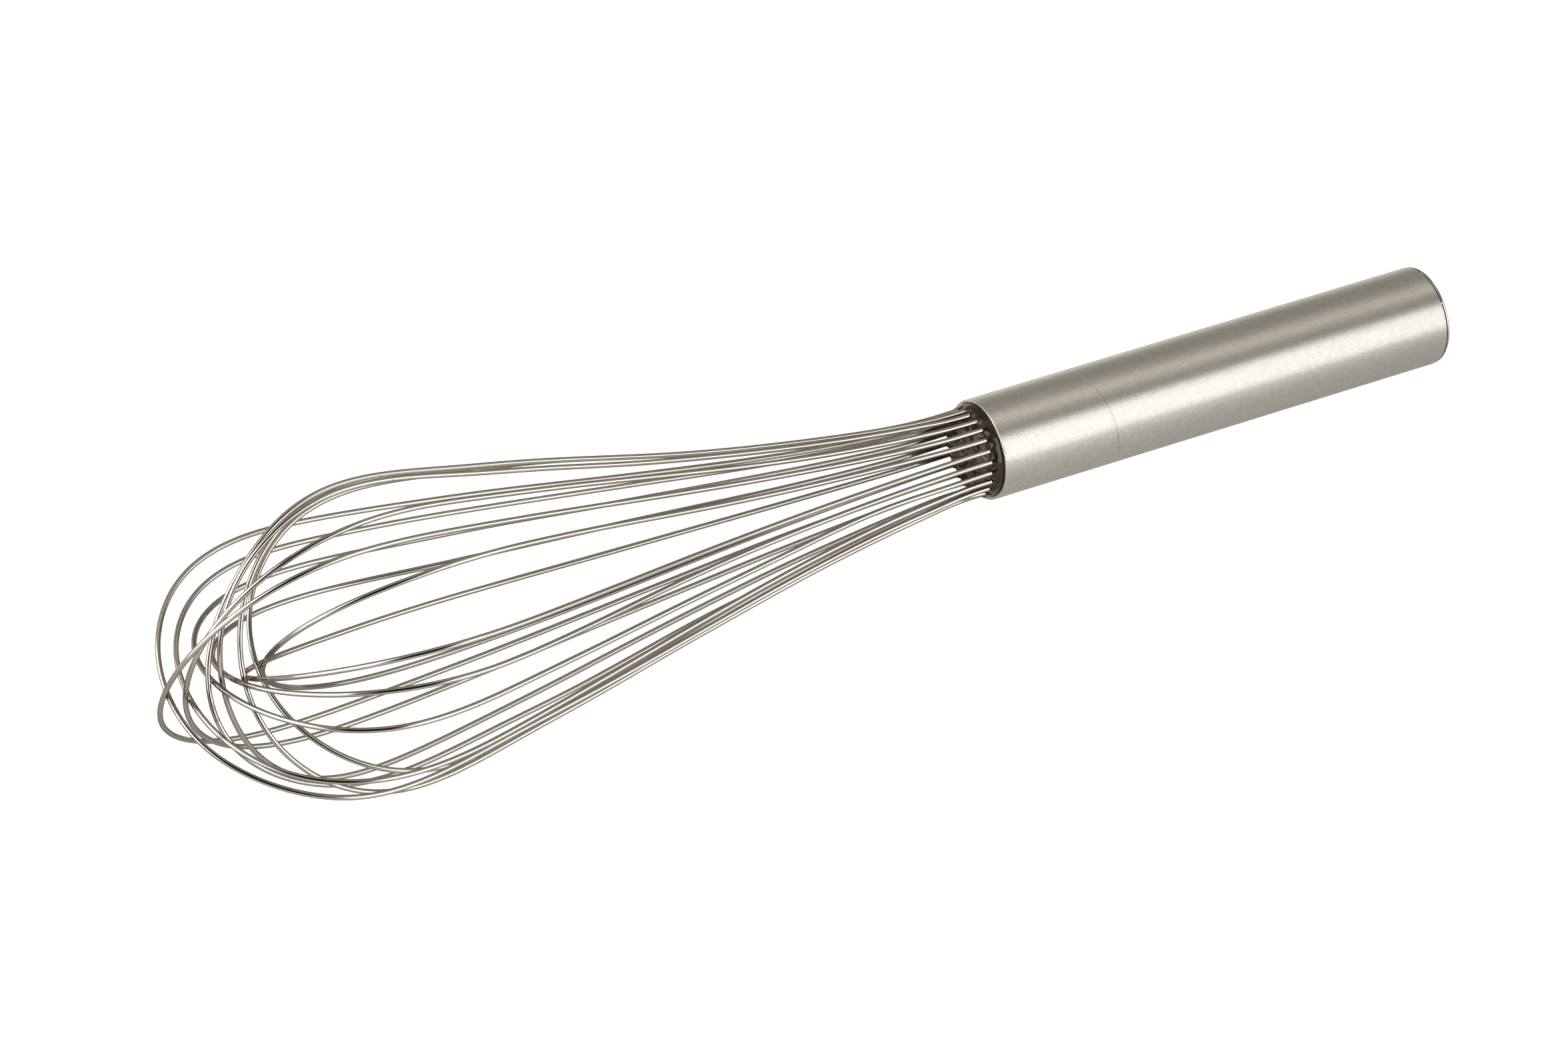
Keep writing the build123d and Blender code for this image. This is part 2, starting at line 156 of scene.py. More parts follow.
def tube(name, pts, radius, sides=20):
    """Round wire along pts (mm, whisk frame) with flat-cut, slightly broken ends.
    UV: u round the wire, v along it, both in mm."""
    p = np.asarray(pts, float)
    tan = np.gradient(p, axis=0)
    tan /= np.linalg.norm(tan, axis=1)[:, None]
    nrm = np.zeros_like(p)
    v = np.cross(tan[0], (0.3, 0.5, 0.8))
    v /= np.linalg.norm(v)
    for i in range(len(p)):
        v = v - tan[i] * (v @ tan[i])
        v /= np.linalg.norm(v)
        nrm[i] = v
    bi = np.cross(tan, nrm)
    rad = np.full(len(p), radius)
    # broken ends
    p = np.vstack([p[:1], p[:1] + tan[:1] * 0.08, p[1:-1], p[-1:] - tan[-1:] * 0.08, p[-1:]])
    nrm = np.vstack([nrm[:1], nrm, nrm[-1:]])
    bi = np.vstack([bi[:1], bi, bi[-1:]])
    rad = np.r_[radius - 0.08, rad, radius - 0.08]
    a = np.linspace(0, 2 * math.pi, sides, endpoint=False)
    ring = p[:, None] + rad[:, None, None] * (
        np.cos(a)[None, :, None] * nrm[:, None] + np.sin(a)[None, :, None] * bi[:, None])
    n = len(p)
    verts = world(ring.reshape(-1, 3))
    L = np.r_[0, np.cumsum(np.linalg.norm(np.diff(p, axis=0), axis=1))]
    faces, uvs = [], []
    per = 2 * math.pi * radius
    for i in range(n - 1):
        for j in range(sides):
            j2 = (j + 1) % sides
            faces.append((i * sides + j, i * sides + j2, (i + 1) * sides + j2, (i + 1) * sides + j))
            u0, u1 = per * j / sides, per * (j + 1) / sides
            uvs += [(u0, L[i]), (u1, L[i]), (u1, L[i + 1]), (u0, L[i + 1])]
    base = tuple(reversed(range(sides)))
    top = tuple((n - 1) * sides + j for j in range(sides))
    for f in (base, top):
        faces.append(f)
        uvs += [(0.5, 0.0)] * sides
    return new_mesh(name, verts, faces, uvs, True, 50)


# ------------------------------------------------------------------ materials
class Nodes:
    """Short-hand for building a material's node tree."""

    def __init__(self, name):
        self.mat = bpy.data.materials.new(name)
        self.mat.use_nodes = True
        self.t = self.mat.node_tree
        self.t.nodes.clear()
        self.out = self.t.nodes.new("ShaderNodeOutputMaterial")
        self.bsdf = self.t.nodes.new("ShaderNodeBsdfPrincipled")
        self.link(self.bsdf.outputs[0], self.out.inputs[0])

    def add(self, kind, **kw):
        n = self.t.nodes.new(kind)
        for k, v in kw.items():
            setattr(n, k, v)
        return n

    def link(self, a, b):
        self.t.links.new(a, b)

    def put(self, socket, value):
        self.bsdf.inputs[socket].default_value = value

    def uv(self):
        return self.add("ShaderNodeUVMap", uv_map="UVMap").outputs[0]

    def stretch(self, vec, scale, loc=(0, 0, 0)):
        m = self.add("ShaderNodeMapping")
        m.inputs["Scale"].default_value = scale
        m.inputs["Location"].default_value = loc
        self.link(vec, m.inputs["Vector"])
        return m.outputs[0]

    def noise(self, vec, scale=1.0, detail=2.0, rough=0.5):
        n = self.add("ShaderNodeTexNoise")
        n.inputs["Scale"].default_value = scale
        n.inputs["Detail"].default_value = detail
        n.inputs["Roughness"].default_value = rough
        self.link(vec, n.inputs["Vector"])
        return n.outputs["Fac"]

    def ramp(self, fac, stops):
        r = self.add("ShaderNodeValToRGB")
        el = r.color_ramp.elements
        while len(el) < len(stops):
            el.new(0.5)
        for e, (pos, col) in zip(el, stops):
            e.position = pos
            e.color = (*col, 1) if len(col) == 3 else col
        self.link(fac, r.inputs[0])
        return r.outputs[0]

    def math(self, op, a, b=None, c=None, clamp=False):
        m = self.add("ShaderNodeMath", operation=op, use_clamp=clamp)
        for i, x in enumerate((a, b, c)):
            if x is None:
                continue
            if isinstance(x, (int, float)):
                m.inputs[i].default_value = x
            else:
                self.link(x, m.inputs[i])
        return m.outputs[0]

    def mix(self, fac, a, b, blend="MIX"):
        m = self.add("ShaderNodeMix", data_type="RGBA", blend_type=blend)
        for s, x in ((m.inputs[0], fac), (m.inputs[6], a), (m.inputs[7], b)):
            if isinstance(x, (int, float)):
                s.default_value = x
            elif isinstance(x, tuple):
                s.default_value = (*x, 1)
            else:
                self.link(x, s)
        return m.outputs[2]

    def bump(self, height, strength, distance, normal=None):
        b = self.add("ShaderNodeBump")
        b.inputs["Strength"].default_value = strength
        b.inputs["Distance"].default_value = distance
        self.link(height, b.inputs["Height"])
        if normal is not None:
            self.link(normal, b.inputs["Normal"])
        return b.outputs[0]


def handle_steel():
    m = Nodes("handle_brushed_steel")
    uv = m.uv()
    sep = m.add("ShaderNodeSeparateXYZ")
    m.link(uv, sep.inputs[0])
    fine = m.noise(m.stretch(uv, (0.22, 7.0, 1)), 1.0, 3.0, 0.6)
    mid = m.noise(m.stretch(uv, (0.16, 2.2, 1), (3, 7, 0)), 1.0, 3.0, 0.6)
    mott = m.noise(m.stretch(uv, (0.35, 0.5, 1), (11, 2, 0)), 1.0, 4.0, 0.65)
    pits = m.noise(m.stretch(uv, (2.2, 3.0, 1), (5, 1, 0)), 1.0, 1.0, 0.4)
    base = m.ramp(mott, [(0.25, (0.625, 0.608, 0.573)), (0.55, (0.685, 0.669, 0.639)), (0.8, (0.735, 0.722, 0.697))])
    col = m.mix(m.math("MULTIPLY", m.math("SUBTRACT", fine, 0.45), 0.5, clamp=True), base, (0.84, 0.81, 0.75))
    col = m.mix(m.math("MULTIPLY", m.math("SUBTRACT", mid, 0.52), 0.55, clamp=True), col, (0.30, 0.285, 0.25))
    sand = m.noise(m.stretch(uv, (2.6, 3.4, 1), (9, 4, 0)), 1.0, 3.0, 0.7)
    col = m.mix(m.math("MULTIPLY", m.math("SUBTRACT", sand, 0.48), 3.0, clamp=True), col, (0.34, 0.32, 0.28))
    # painted shade: the colour is a touch darker towards the capped end, standing in for the highlight that fades
    # there
    cap_end_painted_fade = m.math("MULTIPLY", sep.outputs[1], -1.0 / TUBE_L, clamp=True)
    col = m.mix(cap_end_painted_fade, col, m.mix(0.92, (0, 0, 0), col))
    speck = m.ramp(pits, [(0.725, (0, 0, 0)), (0.765, (1, 1, 1))])
    col = m.mix(m.math("MULTIPLY", speck, 0.6), col, (0.10, 0.09, 0.08))
    # one hairline scratch running most of the way round, a little askew
    u, v = sep.outputs[0], sep.outputs[1]
    wob = m.noise(m.stretch(uv, (0.25, 0.0, 1)), 1.0, 2.0, 0.5)
    slope = (SCR[1][1] - SCR[0][1]) / (SCR[1][0] - SCR[0][0])
    line = m.math("ADD", m.math("MULTIPLY", m.math("SUBTRACT", u, SCR[0][0]), slope), SCR[0][1])
    line = m.math("ADD", line, m.math("MULTIPLY", m.math("SUBTRACT", wob, 0.5), 1.2))
    dist = m.math("ABSOLUTE", m.math("SUBTRACT", v, line))
    lo_u, hi_u = sorted((SCR[0][0], SCR[1][0]))
    inside = m.math("MULTIPLY", m.math("GREATER_THAN", u, lo_u), m.math("LESS_THAN", u, hi_u))
    scr = m.math("MULTIPLY", m.math("SUBTRACT", 1.0, m.math("DIVIDE", dist, 0.11), clamp=True), inside)
    col = m.mix(m.math("MULTIPLY", scr, 0.85), col, (0.045, 0.04, 0.035))
    m.link(col, m.bsdf.inputs["Base Color"])
    m.put("Metallic", 1.0)
    rough = m.math("ADD", 0.355, m.math("MULTIPLY", fine, 0.12))
    m.link(rough, m.bsdf.inputs["Roughness"])
    m.put("Anisotropic", 0.88)
    m.put("Anisotropic Rotation", 0.25)
    tg = m.add("ShaderNodeTangent", direction_type="UV_MAP", uv_map="UVMap")
    m.link(tg.outputs[0], m.bsdf.inputs["Tangent"])
    n1 = m.bump(fine, 0.06, 0.00002)
    n2 = m.bump(m.math("SUBTRACT", mid, m.math("MULTIPLY", scr, 1.5)), 0.05, 0.00003, n1)
    m.link(n2, m.bsdf.inputs["Normal"])
    return m.mat


def rim_steel():
    m = Nodes("rim_bright_steel")
    uv = m.uv()
    n = m.noise(m.stretch(uv, (0.8, 5.0, 1)), 1.0, 3.0, 0.6)
    m.link(m.ramp(n, [(0.3, (0.50, 0.48, 0.44)), (0.7, (0.72, 0.70, 0.66))]), m.bsdf.inputs["Base Color"])
    m.put("Metallic", 1.0)
    m.link(m.math("ADD", 0.14, m.math("MULTIPLY", n, 0.12)), m.bsdf.inputs["Roughness"])
    m.link(m.bump(n, 0.15, 0.00004), m.bsdf.inputs["Normal"])
    return m.mat


def cap_edge_shade_steel():
    m = Nodes("cap_edge_painted_shade")
    # painted shade: a much darker steel on the cap's rounded outer end edge, so that it reads grey instead of lit
    # white
    n = m.noise(m.stretch(m.uv(), (0.8, 5.0, 1)), 1.0, 3.0, 0.6)
    m.link(m.ramp(n, [(0.3, (0.20, 0.19, 0.175)), (0.7, (0.32, 0.31, 0.29))]), m.bsdf.inputs["Base Color"])
    m.put("Metallic", 1.0)
    m.link(m.math("ADD", 0.28, m.math("MULTIPLY", n, 0.12)), m.bsdf.inputs["Roughness"])
    m.link(m.bump(n, 0.1, 0.00004), m.bsdf.inputs["Normal"])
    return m.mat


def seam_shade_material():
    m = Nodes("painted_seam_shadow")
    # painted shade: a near-black, rough surface standing in for the shadow deep in the seam groove
    co = m.add("ShaderNodeTexCoord").outputs["Object"]
    g = m.noise(co, 1500.0, 3.0, 0.6)
    m.link(m.ramp(g, [(0.35, (0.012, 0.010, 0.009)), (0.75, (0.050, 0.042, 0.036))]), m.bsdf.inputs["Base Color"])
    m.link(m.math("ADD", 0.55, m.math("MULTIPLY", g, 0.25)), m.bsdf.inputs["Roughness"])
    m.put("Specular IOR Level", 0.15)
    m.link(m.bump(g, 0.3, 0.00005), m.bsdf.inputs["Normal"])
    return m.mat


def wire_steel():
    m = Nodes("wire_polished_steel")
    uv = m.uv()
    tone = m.noise(m.stretch(uv, (0.2, 0.035, 1), (4, 9, 0)), 1.0, 3.0, 0.6)
    wear = m.noise(m.stretch(uv, (0.9, 0.25, 1), (2, 5, 0)), 1.0, 3.0, 0.6)
    fleck = m.noise(m.stretch(uv, (1.1, 0.9, 1), (8, 1, 0)), 1.0, 1.0, 0.4)
    col = m.ramp(tone, [(0.3, (0.420, 0.396, 0.362)), (0.7, (0.498, 0.482, 0.456))])
    spot = m.ramp(fleck, [(0.75, (0, 0, 0)), (0.79, (1, 1, 1))])
    col = m.mix(m.math("MULTIPLY", spot, 0.6), col, (0.10, 0.075, 0.055))
    # tea-brown residue where wires touch and where something has dripped
    at = m.add("ShaderNodeAttribute")
    at.attribute_name = "stain"
    stain = m.math("MULTIPLY", at.outputs["Fac"], m.ramp(wear, [(0.35, (0.35, 0.35, 0.35)), (0.6, (1, 1, 1))]), clamp=True)
    col = m.mix(m.math("MULTIPLY", stain, 0.62), col, (0.115, 0.062, 0.034))
    m.link(col, m.bsdf.inputs["Base Color"])
    m.put("Metallic", 1.0)
    rough = m.math("ADD", 0.045, m.math("MULTIPLY", wear, 0.05))
    m.link(m.math("ADD", rough, m.math("MULTIPLY", stain, 0.14)), m.bsdf.inputs["Roughness"])
    m.put("Specular Tint", (0.40, 0.34, 0.28, 1.0))
    m.link(m.bump(wear, 0.05, 0.00002), m.bsdf.inputs["Normal"])
    return m.mat


def resin():
    m = Nodes("potting_resin_dark")
    co = m.add("ShaderNodeTexCoord").outputs["Object"]
    cloud = m.noise(co, 260.0, 3.0, 0.6)
    ripple = m.noise(co, 620.0, 2.0, 0.5)
    col = m.ramp(cloud, [(0.3, (0.010, 0.006, 0.004)), (0.46, (0.024, 0.015, 0.010)), (0.58, (0.090, 0.060, 0.040)), (0.74, (0.190, 0.135, 0.093))])
    ringed = m.add("ShaderNodeAttribute")
    ringed.attribute_name = "ring"
    col = m.mix(ringed.outputs["Fac"], col, (0.012, 0.009, 0.008))
    m.link(col, m.bsdf.inputs["Base Color"])
    m.link(m.math("ADD", 0.03, m.math("MULTIPLY", cloud, 0.06)), m.bsdf.inputs["Roughness"])
    m.put("IOR", 1.50)
    m.put("Specular Tint", (1.0, 0.84, 0.70, 1.0))
    n1 = m.bump(cloud, 0.40, 0.0003)
    m.link(m.bump(ripple, 0.30, 0.00015, n1), m.bsdf.inputs["Normal"])
    return m.mat


def stop_plastic():
    m = Nodes("stop_grey_plastic")
    co = m.add("ShaderNodeTexCoord").outputs["Object"]
    g = m.noise(co, 900.0, 3.0, 0.6)
    m.link(m.ramp(g, [(0.3, (0.19, 0.19, 0.20)), (0.7, (0.27, 0.27, 0.28))]), m.bsdf.inputs["Base Color"])
    m.link(m.math("ADD", 0.5, m.math("MULTIPLY", g, 0.2)), m.bsdf.inputs["Roughness"])
    m.link(m.bump(g, 0.2, 0.0001), m.bsdf.inputs["Normal"])
    return m.mat


def ring_angle(phi):
    """Angle in the lathe's frame of a direction phi (degrees) round the whisk,
    measured from the ring's x axis the way the wires are numbered."""
    return math.radians(-phi) % (2 * math.pi)


# scratch on the tube: (u, v) ends in the lathe's UV, mm
SCR = [(ring_angle(144) * TUBE_R, -2.61 * TUBE_R), (ring_angle(62) * TUBE_R, -2.38 * TUBE_R)]

MAT_HANDLE = handle_steel()
MAT_RIM = rim_steel()
MAT_WIRE = wire_steel()
MAT_SEAM_SHADE = seam_shade_material()
MAT_EDGE_SHADE = cap_edge_shade_steel()
MAT_RESIN = resin()
MAT_STOP = stop_plastic()

WIRES = [
    [(10.52, -4.04, -28.00), (10.52, -4.04, -12.00), (10.52, -4.04, -3.00), (10.52, -4.04, 3.00), (10.60, -4.02, 10.50), (11.10, -4.08, 17.98), (11.86, -4.25, 25.94), (12.72, -4.45, 33.39), (13.69, -4.69, 40.82), (14.75, -4.95, 48.24), (15.87, -5.23, 55.65), (17.12, -5.55, 63.55), (18.37, -5.87, 70.94), (19.70, -6.21, 78.31), (21.13, -6.59, 85.66), (22.67, -7.00, 92.99), (24.39, -7.45, 100.79), (26.03, -7.89, 108.10), (27.67, -8.32, 115.40), (29.24, -8.74, 122.72), (30.80, -9.15, 130.56), (32.17, -9.50, 137.92), (33.53, -9.85, 145.29), (34.93, -10.22, 152.65), (36.26, -10.56, 160.02), (37.33, -10.84, 167.94), (37.67, -10.93, 175.43), (36.98, -10.74, 182.88), (34.95, -10.15, 190.05), (31.61, -9.18, 196.67), (26.99, -7.84, 203.05), (21.96, -6.38, 208.41), (16.36, -4.75, 213.10), (10.16, -2.95, 216.89), (3.40, -0.98, 219.38), (-4.21, 1.24, 220.20), (-11.27, 3.29, 218.98), (-17.71, 5.17, 215.74), (-23.15, 6.75, 210.86), (-27.50, 8.02, 204.92), (-31.02, 9.04, 197.83), (-33.27, 9.70, 190.72), (-34.45, 10.04, 183.33), (-34.66, 10.10, 175.84), (-34.17, 9.97, 168.36), (-33.22, 9.72, 160.42), (-32.12, 9.44, 153.01), (-30.99, 9.15, 145.60), (-29.90, 8.87, 138.19), (-28.80, 8.59, 130.77), (-27.52, 8.27, 122.88), (-26.18, 7.92, 115.51), (-24.76, 7.54, 108.16), (-23.30, 7.16, 100.81), (-21.77, 6.76, 92.97), (-20.44, 6.41, 85.60), (-19.25, 6.11, 78.20), (-18.22, 5.85, 70.77), (-17.23, 5.60, 63.34), (-16.10, 5.31, 55.43), (-14.94, 5.02, 48.02), (-13.77, 4.72, 40.62), (-12.68, 4.45, 33.21), (-11.74, 4.22, 25.77), (-10.91, 4.03, 17.82), (-10.48, 3.99, 10.33), (-10.52, 4.04, 2.83), (-10.52, 4.04, -3.00), (-10.52, 4.04, -12.00), (-10.52, 4.04, -28.00)],
    [(9.12, -6.62, -28.00), (9.12, -6.62, -12.00), (9.12, -6.62, -3.00), (9.12, -6.63, 3.00), (9.34, -6.65, 10.49), (10.00, -6.79, 17.96), (10.69, -7.02, 25.43), (11.53, -7.33, 33.38), (12.42, -7.67, 40.82), (13.39, -8.06, 48.24), (14.43, -8.49, 55.66), (15.55, -8.94, 63.06), (16.72, -9.43, 70.45), (17.95, -9.95, 77.83), (19.22, -10.49, 85.20), (20.65, -11.10, 93.05), (22.06, -11.71, 100.39), (23.57, -12.36, 107.71), (25.12, -13.04, 115.02), (26.66, -13.71, 122.33), (28.12, -14.35, 129.65), (29.54, -14.96, 136.99), (30.99, -15.58, 144.33), (32.61, -16.28, 152.13), (34.07, -16.91, 159.46), (35.23, -17.42, 166.85), (35.85, -17.70, 174.31), (35.62, -17.59, 181.79), (34.29, -16.93, 189.13), (31.75, -15.68, 196.05), (28.09, -13.86, 202.31), (23.08, -11.37, 207.99), (17.49, -8.61, 212.12), (11.27, -5.53, 214.88), (4.67, -2.26, 216.20), (-2.04, 1.06, 216.23), (-8.67, 4.34, 215.06), (-15.02, 7.49, 212.66), (-20.80, 10.35, 208.90), (-25.89, 12.87, 203.33), (-29.24, 14.54, 196.87), (-31.17, 15.50, 189.72), (-31.83, 15.82, 182.27), (-31.63, 15.73, 174.78), (-30.94, 15.42, 167.32), (-30.01, 15.03, 159.89), (-28.93, 14.59, 152.48), (-27.72, 14.09, 144.58), (-26.56, 13.60, 137.19), (-25.36, 13.09, 129.80), (-24.12, 12.56, 122.43), (-22.84, 12.01, 115.06), (-21.55, 11.45, 107.69), (-20.29, 10.91, 100.32), (-19.06, 10.39, 92.94), (-17.79, 9.85, 85.06), (-16.63, 9.36, 77.66), (-15.51, 8.89, 70.26), (-14.45, 8.45, 62.85), (-13.48, 8.06, 55.42), (-12.60, 7.71, 47.98), (-11.78, 7.39, 40.54), (-10.99, 7.10, 33.08), (-10.23, 6.82, 25.13), (-9.61, 6.62, 17.65), (-9.18, 6.58, 10.17), (-9.12, 6.63, 2.67), (-9.12, 6.62, -3.00), (-9.12, 6.62, -12.00), (-9.12, 6.62, -28.00)],
    [(7.09, -8.76, -28.00), (7.09, -8.76, -12.00), (7.09, -8.76, -3.00), (7.09, -8.76, 3.00), (7.19, -8.85, 10.50), (7.59, -9.29, 18.47), (8.06, -9.83, 25.94), (8.64, -10.49, 33.39), (9.36, -11.33, 41.31), (10.12, -12.22, 48.72), (10.96, -13.21, 56.10), (11.88, -14.28, 63.47), (12.94, -15.52, 71.30), (13.98, -16.75, 78.63), (15.07, -18.03, 85.94), (16.26, -19.42, 93.72), (17.39, -20.74, 101.02), (18.51, -22.07, 108.32), (19.70, -23.46, 116.10), (20.79, -24.73, 123.41), (21.83, -25.96, 130.74), (22.91, -27.23, 138.56), (23.90, -28.38, 145.91), (24.87, -29.52, 153.26), (25.81, -30.63, 161.12), (26.46, -31.39, 168.56), (26.69, -31.67, 176.04), (26.36, -31.29, 184.02), (25.42, -30.23, 191.37), (23.84, -28.44, 198.47), (21.62, -25.99, 205.19), (18.55, -22.67, 211.77), (15.04, -18.93, 217.23), (10.98, -14.58, 221.75), (6.13, -9.25, 225.15), (1.32, -3.73, 226.67), (-3.45, 2.00, 226.44), (-8.18, 7.97, 224.14), (-12.02, 12.97, 220.16), (-15.10, 17.10, 214.75), (-17.43, 20.32, 207.84), (-18.79, 22.24, 200.74), (-19.51, 23.29, 193.36), (-19.74, 23.66, 185.87), (-19.60, 23.55, 177.88), (-19.25, 23.15, 170.40), (-18.77, 22.59, 162.93), (-18.17, 21.89, 154.99), (-17.58, 21.20, 147.54), (-16.97, 20.48, 140.10), (-16.30, 19.69, 132.17), (-15.66, 18.93, 124.74), (-14.99, 18.14, 117.31), (-14.28, 17.29, 109.39), (-13.61, 16.51, 101.96), (-12.96, 15.73, 94.53), (-12.25, 14.90, 86.60), (-11.59, 14.11, 79.17), (-10.93, 13.32, 71.74), (-10.24, 12.51, 63.81), (-9.65, 11.81, 56.37), (-9.10, 11.16, 48.92), (-8.58, 10.54, 41.46), (-8.06, 9.92, 33.50), (-7.62, 9.40, 26.03), (-7.26, 8.98, 18.56), (-7.07, 8.74, 10.56), (-7.09, 8.76, 3.06), (-7.09, 8.76, -3.00), (-7.09, 8.76, -12.00), (-7.09, 8.76, -28.00)],
    [(4.58, -10.30, -28.00), (4.58, -10.30, -12.00), (4.58, -10.30, -3.00), (4.58, -10.30, 3.00), (4.57, -10.18, 10.50), (4.77, -10.34, 17.99), (5.17, -10.92, 25.96), (5.64, -11.65, 33.41), (6.19, -12.53, 40.84), (6.80, -13.50, 48.25), (7.45, -14.55, 55.65), (8.18, -15.74, 63.52), (8.90, -16.92, 70.89), (9.65, -18.15, 78.26), (10.43, -19.42, 85.60), (11.28, -20.83, 93.43), (12.10, -22.19, 100.76), (12.93, -23.56, 108.09), (13.77, -24.94, 115.42), (14.59, -26.31, 122.74), (15.46, -27.74, 130.57), (16.25, -29.03, 137.91), (17.01, -30.27, 145.27), (17.75, -31.49, 152.63), (18.46, -32.67, 160.00), (19.14, -33.81, 167.89), (19.61, -34.62, 175.33), (19.84, -35.00, 182.82), (19.71, -34.77, 190.30), (19.04, -33.60, 198.18), (17.83, -31.46, 205.24), (16.07, -28.33, 211.81), (13.80, -24.31, 217.70), (11.10, -19.54, 222.80), (7.84, -13.76, 227.23), (4.48, -7.79, 230.24), (0.90, -1.44, 231.93), (-2.76, 5.07, 232.08), (-6.30, 11.37, 230.30), (-9.59, 17.24, 226.08), (-12.00, 21.55, 220.49), (-13.72, 24.63, 213.90), (-14.81, 26.60, 206.76), (-15.36, 27.60, 199.36), (-15.49, 27.84, 191.37), (-15.33, 27.57, 183.88), (-15.04, 27.07, 176.40), (-14.70, 26.47, 168.93), (-14.28, 25.77, 160.97), (-13.85, 25.08, 153.52), (-13.40, 24.35, 146.07), (-12.91, 23.57, 138.62), (-12.38, 22.73, 131.19), (-11.78, 21.75, 123.27), (-11.19, 20.79, 115.86), (-10.60, 19.81, 108.45), (-10.00, 18.84, 101.03), (-9.42, 17.88, 93.62), (-8.79, 16.85, 85.71), (-8.20, 15.89, 78.29), (-7.63, 14.96, 70.87), (-7.10, 14.09, 63.44), (-6.59, 13.27, 55.50), (-6.16, 12.60, 48.04), (-5.78, 11.99, 40.58), (-5.43, 11.45, 33.11), (-5.13, 11.00, 25.62), (-4.86, 10.62, 17.64), (-4.65, 10.36, 10.15), (-4.59, 10.30, 2.65), (-4.58, 10.30, -3.00), (-4.58, 10.30, -12.00), (-4.58, 10.30, -28.00)],
    [(1.76, -11.13, -28.00), (1.76, -11.13, -12.00), (1.76, -11.13, -3.00), (1.76, -11.13, 3.00), (1.80, -11.08, 10.50), (1.99, -11.32, 17.99), (2.25, -11.93, 25.96), (2.55, -12.70, 33.42), (2.89, -13.61, 40.85), (3.26, -14.65, 48.27), (3.70, -15.88, 56.16), (4.14, -17.16, 63.54), (4.62, -18.56, 70.89), (5.13, -20.05, 78.22), (5.71, -21.77, 86.02), (6.29, -23.48, 93.30), (6.90, -25.29, 100.55), (7.53, -27.15, 107.79), (8.19, -29.09, 115.52), (8.77, -30.82, 122.80), (9.32, -32.40, 130.11), (9.81, -33.82, 137.45), (10.27, -35.05, 145.34), (10.55, -35.75, 152.80), (10.63, -35.83, 160.30), (10.50, -35.25, 167.77), (10.16, -34.02, 175.15), (9.59, -31.97, 182.86), (8.79, -29.14, 189.74), (7.66, -25.14, 195.95), (6.14, -19.78, 200.91), (4.16, -12.88, 204.32), (2.10, -5.81, 205.52), (-0.00, 1.33, 204.95), (-2.05, 8.19, 202.80), (-4.08, 14.89, 198.97), (-5.77, 20.41, 194.22), (-7.21, 25.09, 188.55), (-8.37, 28.85, 182.19), (-9.29, 31.85, 174.84), (-9.84, 33.68, 167.60), (-10.12, 34.67, 160.18), (-10.17, 34.94, 152.69), (-10.03, 34.67, 145.20), (-9.76, 33.96, 137.23), (-9.44, 33.08, 129.79), (-9.07, 32.01, 122.38), (-8.63, 30.72, 115.00), (-8.08, 29.08, 107.19), (-7.52, 27.38, 99.91), (-6.93, 25.63, 92.64), (-6.35, 23.88, 85.37), (-5.73, 22.03, 77.61), (-5.16, 20.32, 70.33), (-4.60, 18.66, 63.04), (-4.08, 17.11, 55.72), (-3.57, 15.63, 47.88), (-3.14, 14.41, 40.49), (-2.76, 13.35, 33.07), (-2.43, 12.48, 25.63), (-2.13, 11.75, 17.67), (-1.86, 11.25, 10.20), (-1.76, 11.13, 2.70), (-1.76, 11.13, -3.00), (-1.76, 11.13, -12.00), (-1.76, 11.13, -28.00)],
    [(-1.18, -11.21, -28.00), (-1.18, -11.21, -12.00), (-1.18, -11.21, -3.00), (-1.18, -11.21, 3.00), (-1.24, -11.24, 10.50), (-1.42, -11.64, 17.98), (-1.61, -12.35, 25.95), (-1.81, -13.20, 33.40), (-2.04, -14.21, 40.83), (-2.29, -15.36, 48.23), (-2.57, -16.66, 55.61), (-2.88, -18.11, 62.97), (-3.22, -19.69, 70.29), (-3.60, -21.52, 78.07), (-3.98, -23.34, 85.33), (-4.38, -25.26, 92.57), (-4.80, -27.28, 99.78), (-5.23, -29.37, 106.97), (-5.71, -31.66, 114.62), (-6.16, -33.80, 121.80), (-6.60, -35.91, 128.98), (-7.03, -37.96, 136.18), (-7.45, -39.92, 143.41), (-7.83, -41.68, 150.69), (-8.13, -42.96, 158.07), (-8.27, -43.43, 166.04), (-8.19, -42.76, 173.50), (-7.89, -40.83, 180.72), (-7.37, -37.62, 187.45), (-6.66, -33.28, 193.51), (-5.75, -27.61, 199.05), (-4.78, -21.53, 203.31), (-3.72, -14.89, 206.60), (-2.59, -7.82, 208.79), (-1.40, -0.49, 209.55), (-0.21, 6.72, 208.21), (0.82, 12.85, 204.18), (1.62, 17.41, 197.73), (2.12, 20.14, 190.78), (2.49, 22.04, 183.54), (2.79, 23.55, 176.20), (3.05, 24.78, 168.81), (3.25, 25.70, 160.87), (3.34, 26.14, 153.38), (3.36, 26.15, 145.88), (3.30, 25.79, 138.39), (3.19, 25.14, 130.92), (3.05, 24.28, 123.47), (2.89, 23.30, 116.04), (2.71, 22.20, 108.12), (2.55, 21.16, 100.69), (2.39, 20.15, 93.26), (2.24, 19.16, 85.83), (2.09, 18.18, 78.40), (1.93, 17.12, 70.47), (1.78, 16.13, 63.03), (1.63, 15.17, 55.60), (1.49, 14.25, 48.16), (1.36, 13.38, 40.71), (1.24, 12.59, 33.25), (1.13, 11.90, 25.78), (1.07, 11.35, 17.80), (1.12, 11.15, 10.31), (1.18, 11.21, 2.81), (1.18, 11.21, -3.00), (1.18, 11.21, -12.00), (1.18, 11.21, -28.00)],
